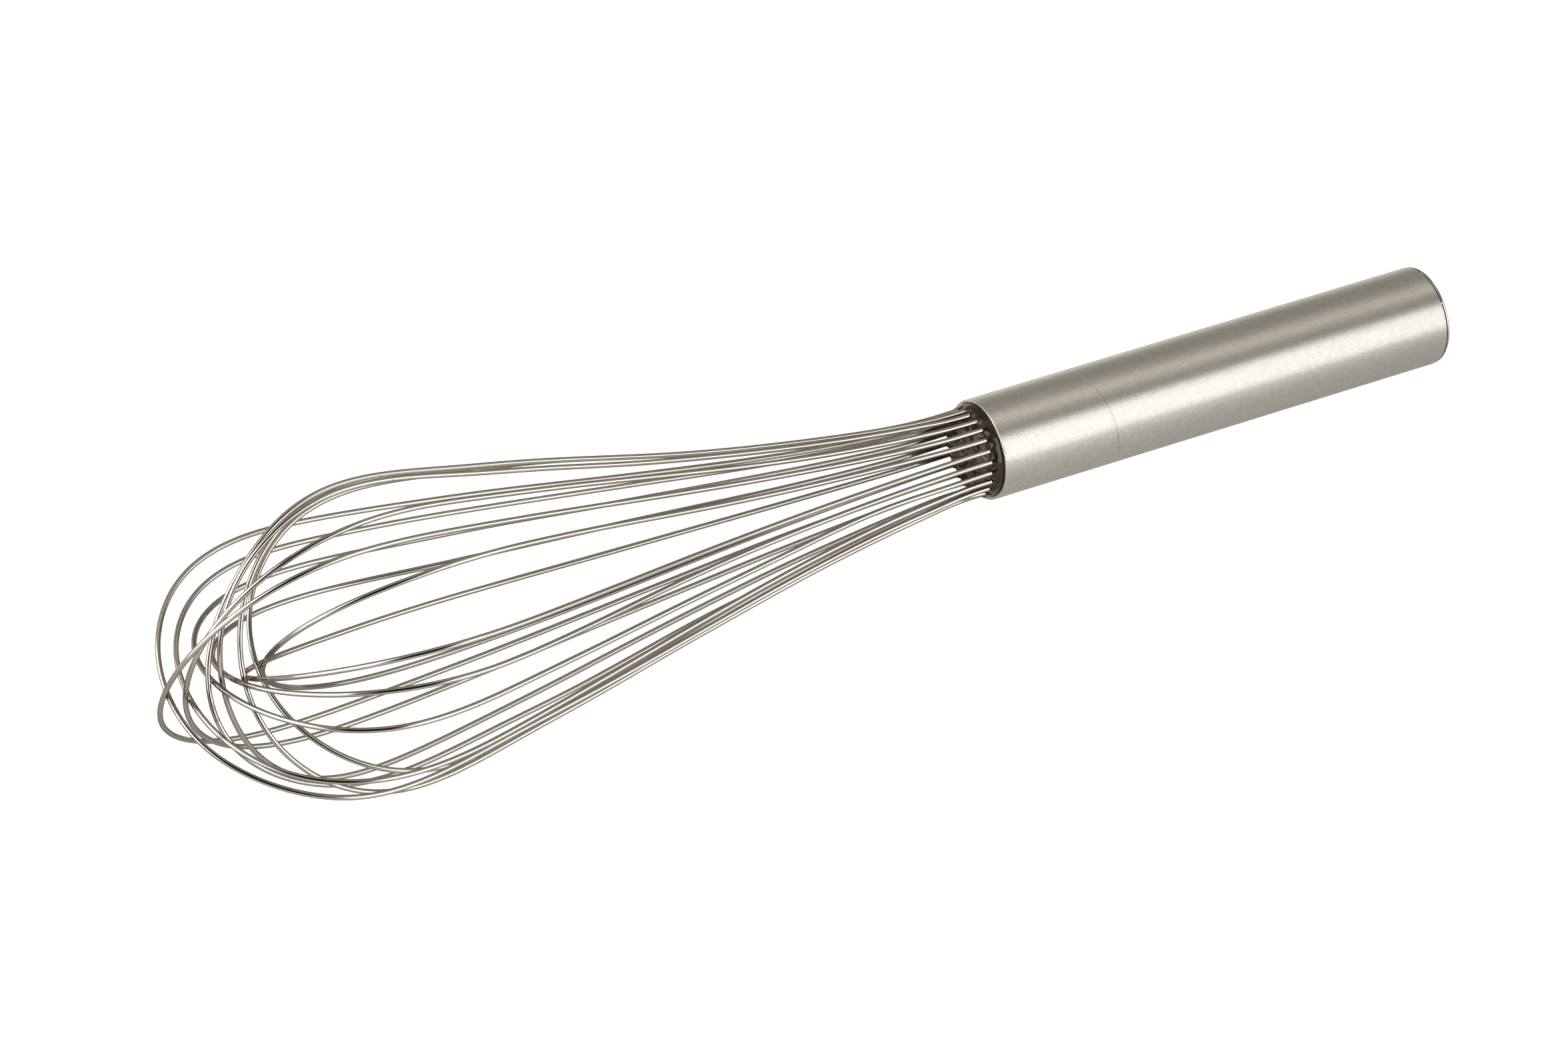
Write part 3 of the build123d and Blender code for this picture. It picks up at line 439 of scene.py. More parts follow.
    [(-4.04, -10.52, -28.00), (-4.04, -10.52, -12.00), (-4.04, -10.52, -3.00), (-4.04, -10.52, 3.00), (-4.09, -10.55, 10.50), (-4.29, -10.82, 18.49), (-4.52, -11.23, 25.98), (-4.81, -11.76, 33.45), (-5.16, -12.44, 41.42), (-5.53, -13.17, 48.87), (-5.95, -14.00, 56.31), (-6.46, -15.01, 64.23), (-7.01, -16.10, 71.63), (-7.61, -17.33, 79.01), (-8.32, -18.78, 86.84), (-9.06, -20.28, 94.15), (-9.85, -21.91, 101.43), (-10.76, -23.78, 109.15), (-11.66, -25.62, 116.37), (-12.57, -27.48, 123.58), (-13.51, -29.42, 131.28), (-14.34, -31.13, 138.54), (-15.11, -32.70, 145.83), (-15.81, -34.12, 153.67), (-16.24, -34.97, 161.10), (-16.29, -35.04, 168.59), (-15.82, -34.06, 176.50), (-14.91, -32.11, 183.67), (-13.56, -29.24, 190.46), (-11.71, -25.26, 197.13), (-9.60, -20.72, 202.70), (-7.16, -15.47, 207.44), (-4.23, -9.15, 211.33), (-1.22, -2.67, 213.54), (1.90, 4.08, 214.17), (5.01, 10.79, 213.12), (8.08, 17.45, 210.03), (10.55, 22.79, 205.44), (12.46, 26.93, 199.53), (13.78, 29.84, 192.23), (14.39, 31.21, 184.90), (14.50, 31.47, 177.42), (14.22, 30.92, 169.45), (13.74, 29.96, 162.03), (13.15, 28.78, 154.64), (12.49, 27.46, 146.78), (11.91, 26.31, 139.39), (11.38, 25.24, 131.99), (10.85, 24.16, 124.08), (10.34, 23.15, 116.66), (9.83, 22.12, 109.25), (9.27, 20.98, 101.35), (8.73, 19.87, 93.95), (8.16, 18.72, 86.57), (7.53, 17.44, 78.69), (6.93, 16.20, 71.32), (6.33, 14.97, 63.95), (5.72, 13.75, 56.07), (5.21, 12.71, 48.66), (4.76, 11.80, 41.23), (4.34, 10.97, 33.28), (4.04, 10.36, 25.81), (3.84, 10.00, 18.32), (3.91, 10.22, 10.33), (4.04, 10.52, 2.84), (4.04, 10.52, -3.00), (4.04, 10.52, -12.00), (4.04, 10.52, -28.00)],
    [(-6.62, -9.12, -28.00), (-6.62, -9.12, -12.00), (-6.62, -9.12, -3.00), (-6.63, -9.12, 3.00), (-6.80, -9.29, 10.50), (-7.01, -9.46, 17.99), (-7.12, -9.53, 25.49), (-7.37, -9.80, 33.48), (-7.87, -10.35, 40.94), (-8.62, -11.21, 48.35), (-9.51, -12.25, 55.73), (-10.46, -13.35, 63.08), (-11.40, -14.45, 70.44), (-12.33, -15.54, 77.80), (-13.27, -16.62, 85.17), (-14.27, -17.79, 93.02), (-15.22, -18.91, 100.37), (-16.21, -20.06, 107.72), (-17.22, -21.24, 115.06), (-18.23, -22.42, 122.39), (-19.22, -23.57, 129.74), (-20.18, -24.70, 137.09), (-21.13, -25.80, 144.45), (-22.13, -26.96, 152.30), (-23.01, -27.98, 159.68), (-23.69, -28.77, 167.10), (-24.03, -29.18, 174.58), (-23.84, -28.94, 182.06), (-22.88, -27.78, 189.39), (-21.02, -25.53, 196.27), (-18.35, -22.28, 202.46), (-14.77, -17.94, 208.11), (-10.89, -13.23, 212.45), (-6.62, -8.04, 215.74), (-2.05, -2.49, 217.82), (2.68, 3.26, 218.55), (7.39, 8.99, 217.71), (11.81, 14.37, 215.03), (15.61, 19.00, 210.59), (18.70, 22.77, 204.30), (20.59, 25.08, 197.45), (21.60, 26.32, 190.14), (21.93, 26.73, 182.67), (21.81, 26.58, 175.17), (21.40, 26.11, 167.70), (20.84, 25.46, 160.25), (20.19, 24.71, 152.82), (19.48, 23.89, 144.89), (18.81, 23.12, 137.46), (18.11, 22.31, 130.04), (17.34, 21.42, 122.63), (16.50, 20.45, 115.24), (15.63, 19.43, 107.86), (14.77, 18.42, 100.48), (13.93, 17.45, 93.09), (13.06, 16.43, 85.20), (12.25, 15.49, 77.81), (11.45, 14.56, 70.41), (10.66, 13.64, 63.01), (9.89, 12.74, 55.60), (9.14, 11.88, 48.19), (8.44, 11.07, 40.76), (7.80, 10.34, 33.33), (7.22, 9.68, 25.38), (6.79, 9.22, 17.90), (6.59, 9.05, 10.41), (6.62, 9.12, 2.91), (6.62, 9.12, -3.00), (6.62, 9.12, -12.00), (6.62, 9.12, -28.00)],
    [(-8.76, -7.09, -28.00), (-8.76, -7.09, -12.00), (-8.76, -7.09, -3.00), (-8.76, -7.09, 3.00), (-8.92, -7.11, 10.50), (-9.52, -7.29, 18.47), (-10.16, -7.58, 25.94), (-10.93, -7.95, 33.39), (-11.88, -8.43, 41.32), (-12.88, -8.94, 48.73), (-13.96, -9.50, 56.13), (-15.21, -10.16, 64.01), (-16.47, -10.83, 71.37), (-17.78, -11.53, 78.72), (-19.23, -12.31, 86.55), (-20.63, -13.06, 93.88), (-22.05, -13.83, 101.20), (-23.61, -14.68, 109.01), (-25.08, -15.48, 116.32), (-26.54, -16.27, 123.63), (-28.07, -17.09, 131.44), (-29.47, -17.84, 138.77), (-30.83, -18.57, 146.11), (-32.26, -19.34, 153.94), (-33.49, -20.01, 161.31), (-34.47, -20.55, 168.72), (-35.08, -20.89, 176.69), (-35.06, -20.86, 184.18), (-34.32, -20.38, 191.62), (-32.56, -19.23, 199.32), (-29.91, -17.46, 206.09), (-26.28, -14.99, 212.14), (-21.42, -11.65, 217.51), (-16.12, -8.01, 221.33), (-10.28, -4.09, 223.86), (-4.06, -0.10, 225.04), (2.77, 4.01, 224.81), (9.12, 7.55, 223.07), (15.02, 10.63, 219.69), (20.32, 13.28, 214.38), (23.96, 15.04, 208.11), (26.21, 16.09, 201.06), (27.30, 16.56, 193.17), (27.47, 16.56, 185.67), (27.17, 16.34, 178.18), (26.62, 16.02, 170.21), (26.01, 15.70, 162.74), (25.32, 15.34, 155.28), (24.48, 14.91, 147.34), (23.61, 14.47, 139.90), (22.68, 13.99, 132.47), (21.66, 13.47, 124.56), (20.68, 12.96, 117.14), (19.69, 12.44, 109.72), (18.63, 11.88, 101.81), (17.63, 11.36, 94.40), (16.63, 10.84, 86.98), (15.54, 10.27, 79.08), (14.54, 9.75, 71.66), (13.56, 9.24, 64.24), (12.57, 8.73, 56.32), (11.71, 8.30, 48.88), (10.92, 7.90, 41.44), (10.17, 7.54, 33.48), (9.56, 7.26, 26.01), (9.09, 7.06, 18.53), (8.78, 7.03, 10.54), (8.76, 7.09, 3.04), (8.76, 7.09, -3.00), (8.76, 7.09, -12.00), (8.76, 7.09, -28.00)],
    [(-10.30, -4.58, -28.00), (-10.30, -4.58, -12.00), (-10.30, -4.58, -3.00), (-10.30, -4.59, 3.00), (-10.56, -4.62, 10.49), (-11.31, -4.77, 17.95), (-12.11, -4.97, 25.91), (-12.96, -5.20, 33.36), (-13.93, -5.47, 40.79), (-15.01, -5.78, 48.21), (-16.17, -6.11, 55.61), (-17.42, -6.48, 62.99), (-18.74, -6.87, 70.37), (-20.20, -7.30, 78.22), (-21.61, -7.72, 85.57), (-23.03, -8.15, 92.92), (-24.46, -8.57, 100.28), (-25.88, -9.00, 107.63), (-27.38, -9.45, 115.47), (-28.75, -9.85, 122.84), (-30.06, -10.24, 130.21), (-31.30, -10.60, 137.60), (-32.52, -10.95, 144.99), (-33.76, -11.32, 152.38), (-35.05, -11.71, 159.76), (-36.36, -12.11, 167.64), (-37.34, -12.42, 175.06), (-37.87, -12.60, 182.54), (-37.66, -12.53, 190.03), (-36.42, -12.12, 197.40), (-33.81, -11.25, 204.89), (-30.31, -10.08, 211.40), (-25.96, -8.62, 217.32), (-20.84, -6.91, 222.50), (-14.95, -4.95, 226.67), (-8.36, -2.75, 229.43), (-1.36, -0.41, 230.56), (6.19, 2.11, 230.01), (12.98, 4.37, 227.87), (19.15, 6.43, 224.20), (24.39, 8.17, 219.17), (28.36, 9.50, 212.99), (31.03, 10.39, 205.53), (32.25, 10.80, 198.16), (32.55, 10.90, 190.67), (32.25, 10.79, 183.18), (31.61, 10.58, 175.71), (30.81, 10.33, 168.26), (29.90, 10.05, 160.82), (28.87, 9.75, 152.89), (27.87, 9.46, 145.46), (26.83, 9.17, 138.04), (25.73, 8.85, 130.63), (24.55, 8.50, 123.23), (23.24, 8.12, 115.35), (22.00, 7.75, 107.96), (20.77, 7.38, 100.57), (19.57, 7.03, 93.18), (18.39, 6.69, 85.78), (17.22, 6.34, 78.38), (16.08, 6.01, 70.97), (14.92, 5.68, 63.07), (13.91, 5.39, 55.64), (12.98, 5.13, 48.20), (12.15, 4.90, 40.75), (11.41, 4.70, 33.29), (10.76, 4.54, 25.32), (10.33, 4.46, 17.83), (10.21, 4.51, 10.34), (10.30, 4.58, 2.84), (10.30, 4.58, -3.00), (10.30, 4.58, -12.00), (10.30, 4.58, -28.00)],
    [(-11.13, -1.76, -28.00), (-11.13, -1.76, -12.00), (-11.13, -1.76, -3.00), (-11.13, -1.76, 3.00), (-10.75, -1.70, 10.49), (-10.71, -1.69, 18.48), (-11.38, -1.79, 25.95), (-12.27, -1.92, 33.39), (-13.34, -2.08, 41.32), (-14.42, -2.24, 48.74), (-15.58, -2.41, 56.15), (-16.90, -2.61, 64.04), (-18.23, -2.81, 71.41), (-19.75, -3.04, 79.26), (-21.27, -3.27, 86.61), (-22.82, -3.50, 93.94), (-24.46, -3.75, 101.77), (-25.94, -3.97, 109.11), (-27.37, -4.18, 116.47), (-28.82, -4.40, 124.34), (-30.19, -4.61, 131.71), (-31.67, -4.83, 139.06), (-33.41, -5.09, 146.86), (-34.92, -5.32, 154.20), (-35.95, -5.48, 161.63), (-36.12, -5.52, 169.61), (-35.05, -5.39, 177.02), (-32.38, -5.05, 184.52), (-28.54, -4.56, 190.92), (-23.61, -3.95, 196.51), (-17.34, -3.16, 201.39), (-10.71, -2.29, 204.73), (-3.53, -1.28, 206.55), (4.34, -0.08, 206.63), (11.51, 1.11, 204.93), (18.12, 2.26, 201.63), (24.28, 3.37, 196.69), (29.03, 4.22, 190.98), (32.59, 4.87, 184.44), (34.95, 5.29, 176.83), (35.86, 5.46, 169.40), (35.78, 5.47, 161.41), (35.07, 5.37, 153.95), (34.01, 5.21, 146.52), (32.77, 5.02, 138.62), (31.65, 4.85, 131.21), (30.51, 4.68, 123.80), (29.14, 4.47, 115.92), (27.61, 4.24, 108.58), (25.93, 3.99, 101.28), (24.08, 3.71, 93.50), (22.37, 3.45, 86.20), (20.71, 3.20, 78.89), (19.00, 2.94, 71.08), (17.49, 2.72, 63.74), (16.01, 2.49, 55.88), (14.75, 2.30, 48.49), (13.63, 2.13, 41.07), (12.59, 1.98, 33.14), (11.78, 1.86, 25.69), (11.20, 1.77, 18.21), (11.02, 1.75, 10.22), (11.13, 1.76, 2.72), (11.13, 1.76, -3.00), (11.13, 1.76, -12.00), (11.13, 1.76, -28.00)],
    [(-11.21, 1.18, -28.00), (-11.21, 1.18, -12.00), (-11.21, 1.18, -3.00), (-11.21, 1.18, 3.00), (-11.45, 1.21, 10.49), (-12.33, 1.33, 18.44), (-13.23, 1.44, 25.89), (-14.21, 1.57, 33.32), (-15.28, 1.70, 40.74), (-16.49, 1.85, 48.65), (-17.73, 2.00, 56.04), (-19.07, 2.17, 63.42), (-20.48, 2.34, 70.79), (-22.02, 2.53, 78.64), (-23.46, 2.71, 85.99), (-24.92, 2.89, 93.35), (-26.42, 3.07, 100.69), (-28.07, 3.27, 108.52), (-29.61, 3.46, 115.86), (-31.09, 3.64, 123.21), (-32.50, 3.81, 130.57), (-33.98, 4.00, 138.43), (-35.42, 4.17, 145.79), (-36.86, 4.35, 153.15), (-38.18, 4.50, 161.04), (-38.95, 4.58, 168.49), (-38.95, 4.55, 175.98), (-37.80, 4.33, 183.37), (-35.01, 3.84, 190.82), (-31.01, 3.12, 197.10), (-25.89, 2.17, 202.46), (-19.86, 1.07, 206.74), (-12.64, -0.18, 209.89), (-5.38, -1.26, 211.28), (2.04, -2.16, 211.15), (9.32, -2.82, 209.54), (16.60, -3.30, 206.32), (22.75, -3.62, 202.08), (28.05, -3.89, 196.81), (32.26, -4.12, 190.63), (35.34, -4.30, 183.28), (36.79, -4.38, 175.94), (37.06, -4.37, 168.46), (36.48, -4.28, 160.98), (35.28, -4.13, 153.08), (33.90, -3.96, 145.71), (32.52, -3.79, 138.34), (31.13, -3.62, 130.46), (29.79, -3.46, 123.08), (28.32, -3.28, 115.73), (26.71, -3.09, 108.41), (24.92, -2.87, 100.61), (23.25, -2.67, 93.31), (21.63, -2.47, 85.99), (20.10, -2.29, 78.65), (18.59, -2.10, 70.79), (17.29, -1.95, 63.41), (16.08, -1.80, 56.01), (14.95, -1.66, 48.59), (13.83, -1.52, 40.67), (12.88, -1.40, 33.24), (12.05, -1.30, 25.78), (11.42, -1.22, 18.31), (11.14, -1.17, 10.32), (11.21, -1.18, 2.82), (11.21, -1.18, -3.00), (11.21, -1.18, -12.00), (11.21, -1.18, -28.00)],
]

# Rub marks and residue near the crossings: loop number, place, radius (mm).
STAINS = [(10, 0.3, 0.2, 230.6, 0.8),
          (10, -1.7, -0.5, 230.5, 1.1),
          (10, -3.9, -1.3, 230.3, 0.5),
          (3, -0.7, -1.3, 226.8, 0.7),
          (9, -3.4, 0.3, 225.1, 1.1),
          (9, -4.7, -0.5, 225.0, 0.8),
          (1, -6.7, 2.0, 220.0, 1.0),
          (1, -5.0, 1.5, 220.2, 0.6),
          (2, -0.3, 0.2, 216.3, 1.1),
          (8, -1.4, -1.7, 218.0, 0.9),
          (8, -2.5, -3.1, 217.7, 1.0),
          (7, -1.3, -2.8, 213.5, 0.7),
          (12, -1.5, -1.8, 211.4, 0.8),
          (7, -2.8, -6.0, 212.6, 0.9),
          (6, -1.6, -2.0, 209.5, 1.2),
          (6, -2.1, -4.9, 209.3, 0.8),
          (5, 4.0, -12.4, 204.5, 1.3),
          (5, 3.2, -9.6, 205.1, 1.2),
          (5, 2.5, -7.1, 205.4, 0.9),
          (3, 23.0, -27.5, 201.3, 1.6),
          (1, -8.4, 2.5, 219.7, 0.6),
          (9, -13.5, -6.2, 222.7, 0.8)]

# ------------------------------------------------------------------ wires
for k, pts in enumerate(WIRES):
    name = "wire_loop_%02d" % (k + 1)
    ob = tube(name + "_wire", spline(pts, 0.6), WIRE_R, 24)
    ob.data.materials.append(MAT_WIRE)
    co = np.array([tuple(v.co) for v in ob.data.vertices])
    amount = np.zeros(len(co))
    for loop, sx_, sy_, sz_, sr_ in STAINS:
        if loop == k + 1:
            d = np.linalg.norm(co - world((sx_, sy_, sz_)), axis=1) / MM - WIRE_R
            amount = np.maximum(amount, np.clip(1.5 - 1.5 * np.maximum(d, 0) / sr_, 0, 1))
    attr = ob.data.attributes.new("stain", "FLOAT", "POINT")
    attr.data.foreach_set("value", amount.astype(np.float32))
    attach(ob, "root")
    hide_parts(name)

# ------------------------------------------------------------------ handle tube
NICK = ring_angle(99)


def nick(r, z, a):
    """A small crescent dent struck in the outer edge of the mouth."""
    da = (a - NICK + math.pi) % (2 * math.pi) - math.pi
    x = da * TUBE_R
    bow = z + 0.55 - 0.28 * (1 - (x / 1.35) ** 2)
    g = np.exp(-(bow / 0.13) ** 2) * np.clip(1 - (x / 1.4) ** 2, 0, 1)
    outer = r > TUBE_R - 0.2
    return r - np.where(outer, 0.30 * g, 0), z


prof = []
prof += arc(TUBE_R - 0.25, -TUBE_L + 0.25, 0.25, -90, 0, 6)
prof += [(TUBE_R, z) for z in np.linspace(-TUBE_L + 1, -2.0, 40)]
prof += [(TUBE_R, z) for z in np.arange(-1.8, -0.30, 0.07)]
prof += arc(TUBE_R - 0.25, -0.25, 0.25, 0, 90, 7)
prof += arc(BORE_R + 0.25, -0.25, 0.25, 90, 180, 6)
prof += [(BORE_R, z) for z in np.linspace(-1.0, -TUBE_L + 1, 30)]
prof += arc(BORE_R + 0.25, -TUBE_L + 0.25, 0.25, 180, 270, 6)
tube_ob = lathe("handle_tube_body", prof, 384, True, nick, 60)
tube_ob.data.materials.append(MAT_HANDLE)
tube_ob.data.materials.append(MAT_RIM)
tube_ob.data.materials.append(MAT_SEAM_SHADE)
# the ground edge of the mouth is brighter than the brushed barrel, and the
# end face inside the seam gets painted shade, near-black for the shadow in the groove
nprof = len(prof)
for i, poly in enumerate(tube_ob.data.polygons):
    ends = (prof[i % nprof], prof[(i + 1) % nprof])
    if all(z > -0.24 for r, z in ends):
        poly.material_index = 1
    elif all(z < -TUBE_L + 0.24 and r < TUBE_R - 0.06 for r, z in ends):
        poly.material_index = 2
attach(tube_ob, "root")
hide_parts("handle_tube")

# ------------------------------------------------------------------ end cap
z_in = -(TUBE_L + SEAM)
z_out = z_in - FLANGE
rf = 13.38
prof = [(0.02, z_out + 0.0)]
prof += [(r, z_out) for r in np.linspace(1.0, rf - 1.2, 12)]
prof += arc(rf - 0.4, z_out + 0.4, 0.4, -90, 0, 7)
prof += arc(rf - 0.1, z_in - 0.1, 0.1, 0, 90, 4)
prof += [(12.9, z_in), (BORE_R - 0.02, z_in), (BORE_R - 0.02, z_in + 0.5)]
prof += [(BORE_R - 0.02, z) for z in np.linspace(z_in + 1.5, -TUBE_L + 8.8, 6)]
prof += [(BORE_R - 0.12, -TUBE_L + 9.0), (BORE_R - 0.82, -TUBE_L + 9.0), (BORE_R - 0.92, -TUBE_L + 8.9)]
prof += [(BORE_R - 0.92, z) for z in np.linspace(-TUBE_L + 7.5, z_out + 2.0, 5)]
prof += arc(BORE_R - 1.42, z_out + 1.6, 0.5, 0, -90, 5)
prof += [(8.0, z_out + 1.1), (0.02, z_out + 1.1)]
cap_ob = lathe("end_cap_cup", prof, 320, True, None, 50)
cap_ob.data.materials.append(MAT_HANDLE)
cap_ob.data.materials.append(MAT_RIM)
cap_ob.data.materials.append(MAT_SEAM_SHADE)
cap_ob.data.materials.append(MAT_EDGE_SHADE)
# the seam-side faces of the cap get the painted seam shadow
for i, poly in enumerate(cap_ob.data.polygons):
    ends = (prof[i % len(prof)], prof[(i + 1) % len(prof)])
    if all(r > 12.5 and z > z_in - 0.04 for r, z in ends):
        poly.material_index = 2
    elif all(r > rf - 0.03 and z > z_out + 0.36 for r, z in ends):
        poly.material_index = 1
    # painted shade on the rounded outer end edge
    elif all(r > rf - 0.42 and z < z_out + 0.42 for r, z in ends):
        poly.material_index = 3
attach(cap_ob, "root")
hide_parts("end_cap")

# two tiny tacks that bridge the seam
for n_, phi in enumerate((36.5, 84.0)):
    a0 = ring_angle(phi)
    na, nz = 15, 9
    verts, faces = [], []
    for i in range(na):
        for j in range(nz):
            x = -1 + 2 * i / (na - 1)
            y = -1 + 2 * j / (nz - 1)
            bulge = max(0.0, (1 - x * x) * (1 - y ** 4)) ** 0.5
            rr = TUBE_R - 0.42 + 0.38 * bulge
            a = a0 + x * 0.42 / TUBE_R + 0.1 * y / TUBE_R
            verts.append(world((rr * math.cos(a), rr * math.sin(a), z_in + SEAM / 2 + y * 0.30)))
    for i in range(na - 1):
        for j in range(nz - 1):
            faces.append((i * nz + j, (i + 1) * nz + j, (i + 1) * nz + j + 1, i * nz + j + 1))
    # close underneath
    low = len(verts)
    for i in range(na):
        for j in range(nz):
            x = -1 + 2 * i / (na - 1)
            y = -1 + 2 * j / (nz - 1)
            a = a0 + x * 0.42 / TUBE_R + 0.1 * y / TUBE_R
            rr = TUBE_R - 0.55
            verts.append(world((rr * math.cos(a), rr * math.sin(a), z_in + SEAM / 2 + y * 0.30)))
    for i in range(na - 1):
        for j in range(nz - 1):
            faces.append((low + i * nz + j + 1, low + (i + 1) * nz + j + 1, low + (i + 1) * nz + j, low + i * nz + j))
    edge = [i * nz for i in range(na)] + [(na - 1) * nz + j for j in range(1, nz)] + \
           [i * nz + nz - 1 for i in range(na - 2, -1, -1)] + [j for j in range(nz - 2, 0, -1)]
    for q in range(len(edge)):
        a_, b_ = edge[q], edge[(q + 1) % len(edge)]
        faces.append((b_, a_, low + a_, low + b_))
    uvs = [(0.1, 0.1)] * sum(len(f) for f in faces)
    tack = new_mesh("seam_tack_%d" % (n_ + 1), verts, faces, uvs, True, 60)
    tack.data.materials.append(MAT_RIM)
    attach(tack, "root")

# ------------------------------------------------------------------ resin plug
# Fine polar grid; the resin climbs each leg in a small collar, and the face
# is a little wavy.
LEGS = [math.radians(-6 + 15 * i) for i in range(24)]
legx = np.array([RING_R * math.cos(a) for a in LEGS])
legy = np.array([RING_R * math.sin(a) for a in LEGS])
R_IN = BORE_R - 0.01
base_r = list(np.linspace(0.02, 9.4, 40)) + list(np.linspace(9.5, 12.54, 62))
NA = 912
ang = np.linspace(0, 2 * math.pi, NA, endpoint=False)
rows_ = []


def face_height(r):
    """Height of the resin's face above the mouth, before the collars."""
    dish = np.where(r < 9.6, 0.8 * (1 - (r / 9.6) ** 2) ** 1.0, 0.0)
    edge = np.clip(r - (R_IN - 1.6), 0, 1.6)
    return 2.1 - dish - (1.6 - np.sqrt(np.maximum(0.0, 1.6 ** 2 - edge ** 2)))


rr, aa = np.meshgrid(np.array(base_r), ang, indexing="ij")
X, Y = rr * np.cos(aa), rr * np.sin(aa)
h = face_height(rr)
rng = np.random.default_rng(7)
tall = rng.uniform(0.75, 1.35, 24)
wide = rng.uniform(0.40, 0.70, 24)
for i in range(24):
    d = np.hypot(X - legx[i], Y - legy[i]) - WIRE_R
    h += tall[i] * np.exp(-np.maximum(d, 0) / wide[i]) * (d < 3)
wave = 0.0
for q in range(14):
    kx, ky = rng.normal(0, 0.9, 2)
    wave = wave + rng.uniform(0.03, 0.06) * np.sin(kx * X + ky * Y + rng.uniform(0, 6.28))
h += wave * np.clip((R_IN - rr) / 1.0, 0, 1)
nr = len(base_r)
verts = world(np.stack([X, Y, h], -1).reshape(-1, 3)).tolist()
ring_ids = list(range((nr - 1) * NA, nr * NA))
faces = []
for i in range(nr - 1):
    for j in range(NA):
        j2 = (j + 1) % NA
        faces.append((i * NA + j, (i + 1) * NA + j, (i + 1) * NA + j2, i * NA + j2))
faces.append(tuple(reversed(range(NA))))
prev = ring_ids
for (r_, z_) in ((R_IN, 0.35), (R_IN, -0.6), (R_IN, -15.0), (R_IN, -29.8), (R_IN - 0.2, -30.0)):
    start = len(verts)
    verts += world(np.stack([r_ * np.cos(ang), r_ * np.sin(ang), np.full(NA, z_)], -1)).tolist()
    for j in range(NA):
        j2 = (j + 1) % NA
        faces.append((prev[j], start + j, start + j2, prev[j2]))
    prev = list(range(start, start + NA))
faces.append(tuple(prev))
plug = new_mesh("resin_plug_cast", verts, faces, None, True, 60)
plug.data.materials.append(MAT_RESIN)
# the resin is thickest in the ring where the legs go in, and that ring is mixed towards near-black
rv = np.concatenate([rr.reshape(-1), np.full(5 * NA, R_IN)])
attr = plug.data.attributes.new("ring", "FLOAT", "POINT")
attr.data.foreach_set("value", (np.clip((rv - 9.6) / 1.2, 0, 1) * 0.85).astype(np.float32))
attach(plug, "root")
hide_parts("resin_plug")

stop = frame["nodes"]["resin_stop"]
for s in stop.material_slots:
    s.material = MAT_STOP

# ------------------------------------------------------------------ floor
fv, ff = [], []
N_ = 40
for i in range(N_ + 1):
    for j in range(N_ + 1):
        fv.append((-4 + 8 * i / N_, -4 + 8 * j / N_, -0.0002))
for i in range(N_):
    for j in range(N_):
        a = i * (N_ + 1) + j
        ff.append((a, a + N_ + 1, a + N_ + 2, a + 1))
floor = new_mesh("studio_floor", fv, ff, None, True)
fm = Nodes("studio_floor_white")
fco = fm.add("ShaderNodeTexCoord").outputs["Object"]
fn = fm.noise(fco, 3.0, 2.0, 0.5)
fm.link(fm.ramp(fn, [(0.3, (0.30, 0.30, 0.30)), (0.7, (0.32, 0.32, 0.32))]), fm.bsdf.inputs["Base Color"])
fm.put("Roughness", 0.9)
fm.put("Specular IOR Level", 0.0)
# painted light: the sweep glows a little, warm in reflections, with a painted
# shadow right beside the whisk where the glow drops, and burns out to white where it is seen directly
fsep = fm.add("ShaderNodeSeparateXYZ")
fm.link(fco, fsep.inputs[0])
painted_shadow_falloff = fm.add("ShaderNodeMapRange", interpolation_type="SMOOTHSTEP")
fm.link(fm.math("ABSOLUTE", fsep.outputs[1]), painted_shadow_falloff.inputs["Value"])
for k_, v_ in (("From Min", 0.012), ("From Max", 0.15), ("To Min", 0.34), ("To Max", 0.74)):
    painted_shadow_falloff.inputs[k_].default_value = v_
lp = fm.add("ShaderNodeLightPath")
seen = lp.outputs["Is Camera Ray"]
glow = fm.math("ADD", painted_shadow_falloff.outputs["Result"], fm.math("MULTIPLY", seen, 0.6))
fm.link(glow, fm.bsdf.inputs["Emission Strength"])
fm.link(fm.mix(seen, (1.0, 0.955, 0.86), (1, 1, 1)), fm.bsdf.inputs["Emission Color"])
floor.data.materials.append(fm.mat)

# ------------------------------------------------------------------ camera
from mathutils import Matrix, Vector

cam_data = bpy.data.cameras.new("camera")
cam_data.sensor_fit = "HORIZONTAL"
cam_data.sensor_width = 36.0
cam_data.lens = 8800.0 / 2352.0 * 36.0
cam_data.clip_start = 0.05
cam_data.clip_end = 50.0
cam = bpy.data.objects.new("camera", cam_data)
bpy.context.scene.collection.objects.link(cam)
r_, u_, b_ = Vector(CAM_RIGHT), Vector(CAM_UP), Vector(CAM_BACK)
cam.matrix_world = Matrix((
    (r_.x, u_.x, b_.x, CAM_POS[0]),
    (r_.y, u_.y, b_.y, CAM_POS[1]),
    (r_.z, u_.z, b_.z, CAM_POS[2]),
    (0, 0, 0, 1)))
bpy.context.scene.camera = cam

# ------------------------------------------------------------------ light
# Studio surroundings, fixed in the room: two large soft boxes either side of
# a dark gap on the viewer's side, dim warm room overhead and to the right,
# a lighter wall to the left.  FRONT, EAST and TOP are fixed room directions.
FRONT, EAST, TOP = CAM_BACK, CAM_RIGHT, CAM_UP


def room_dir(a, b, c):
    return tuple(a * EAST[i] + b * TOP[i] + c * FRONT[i] for i in range(3))


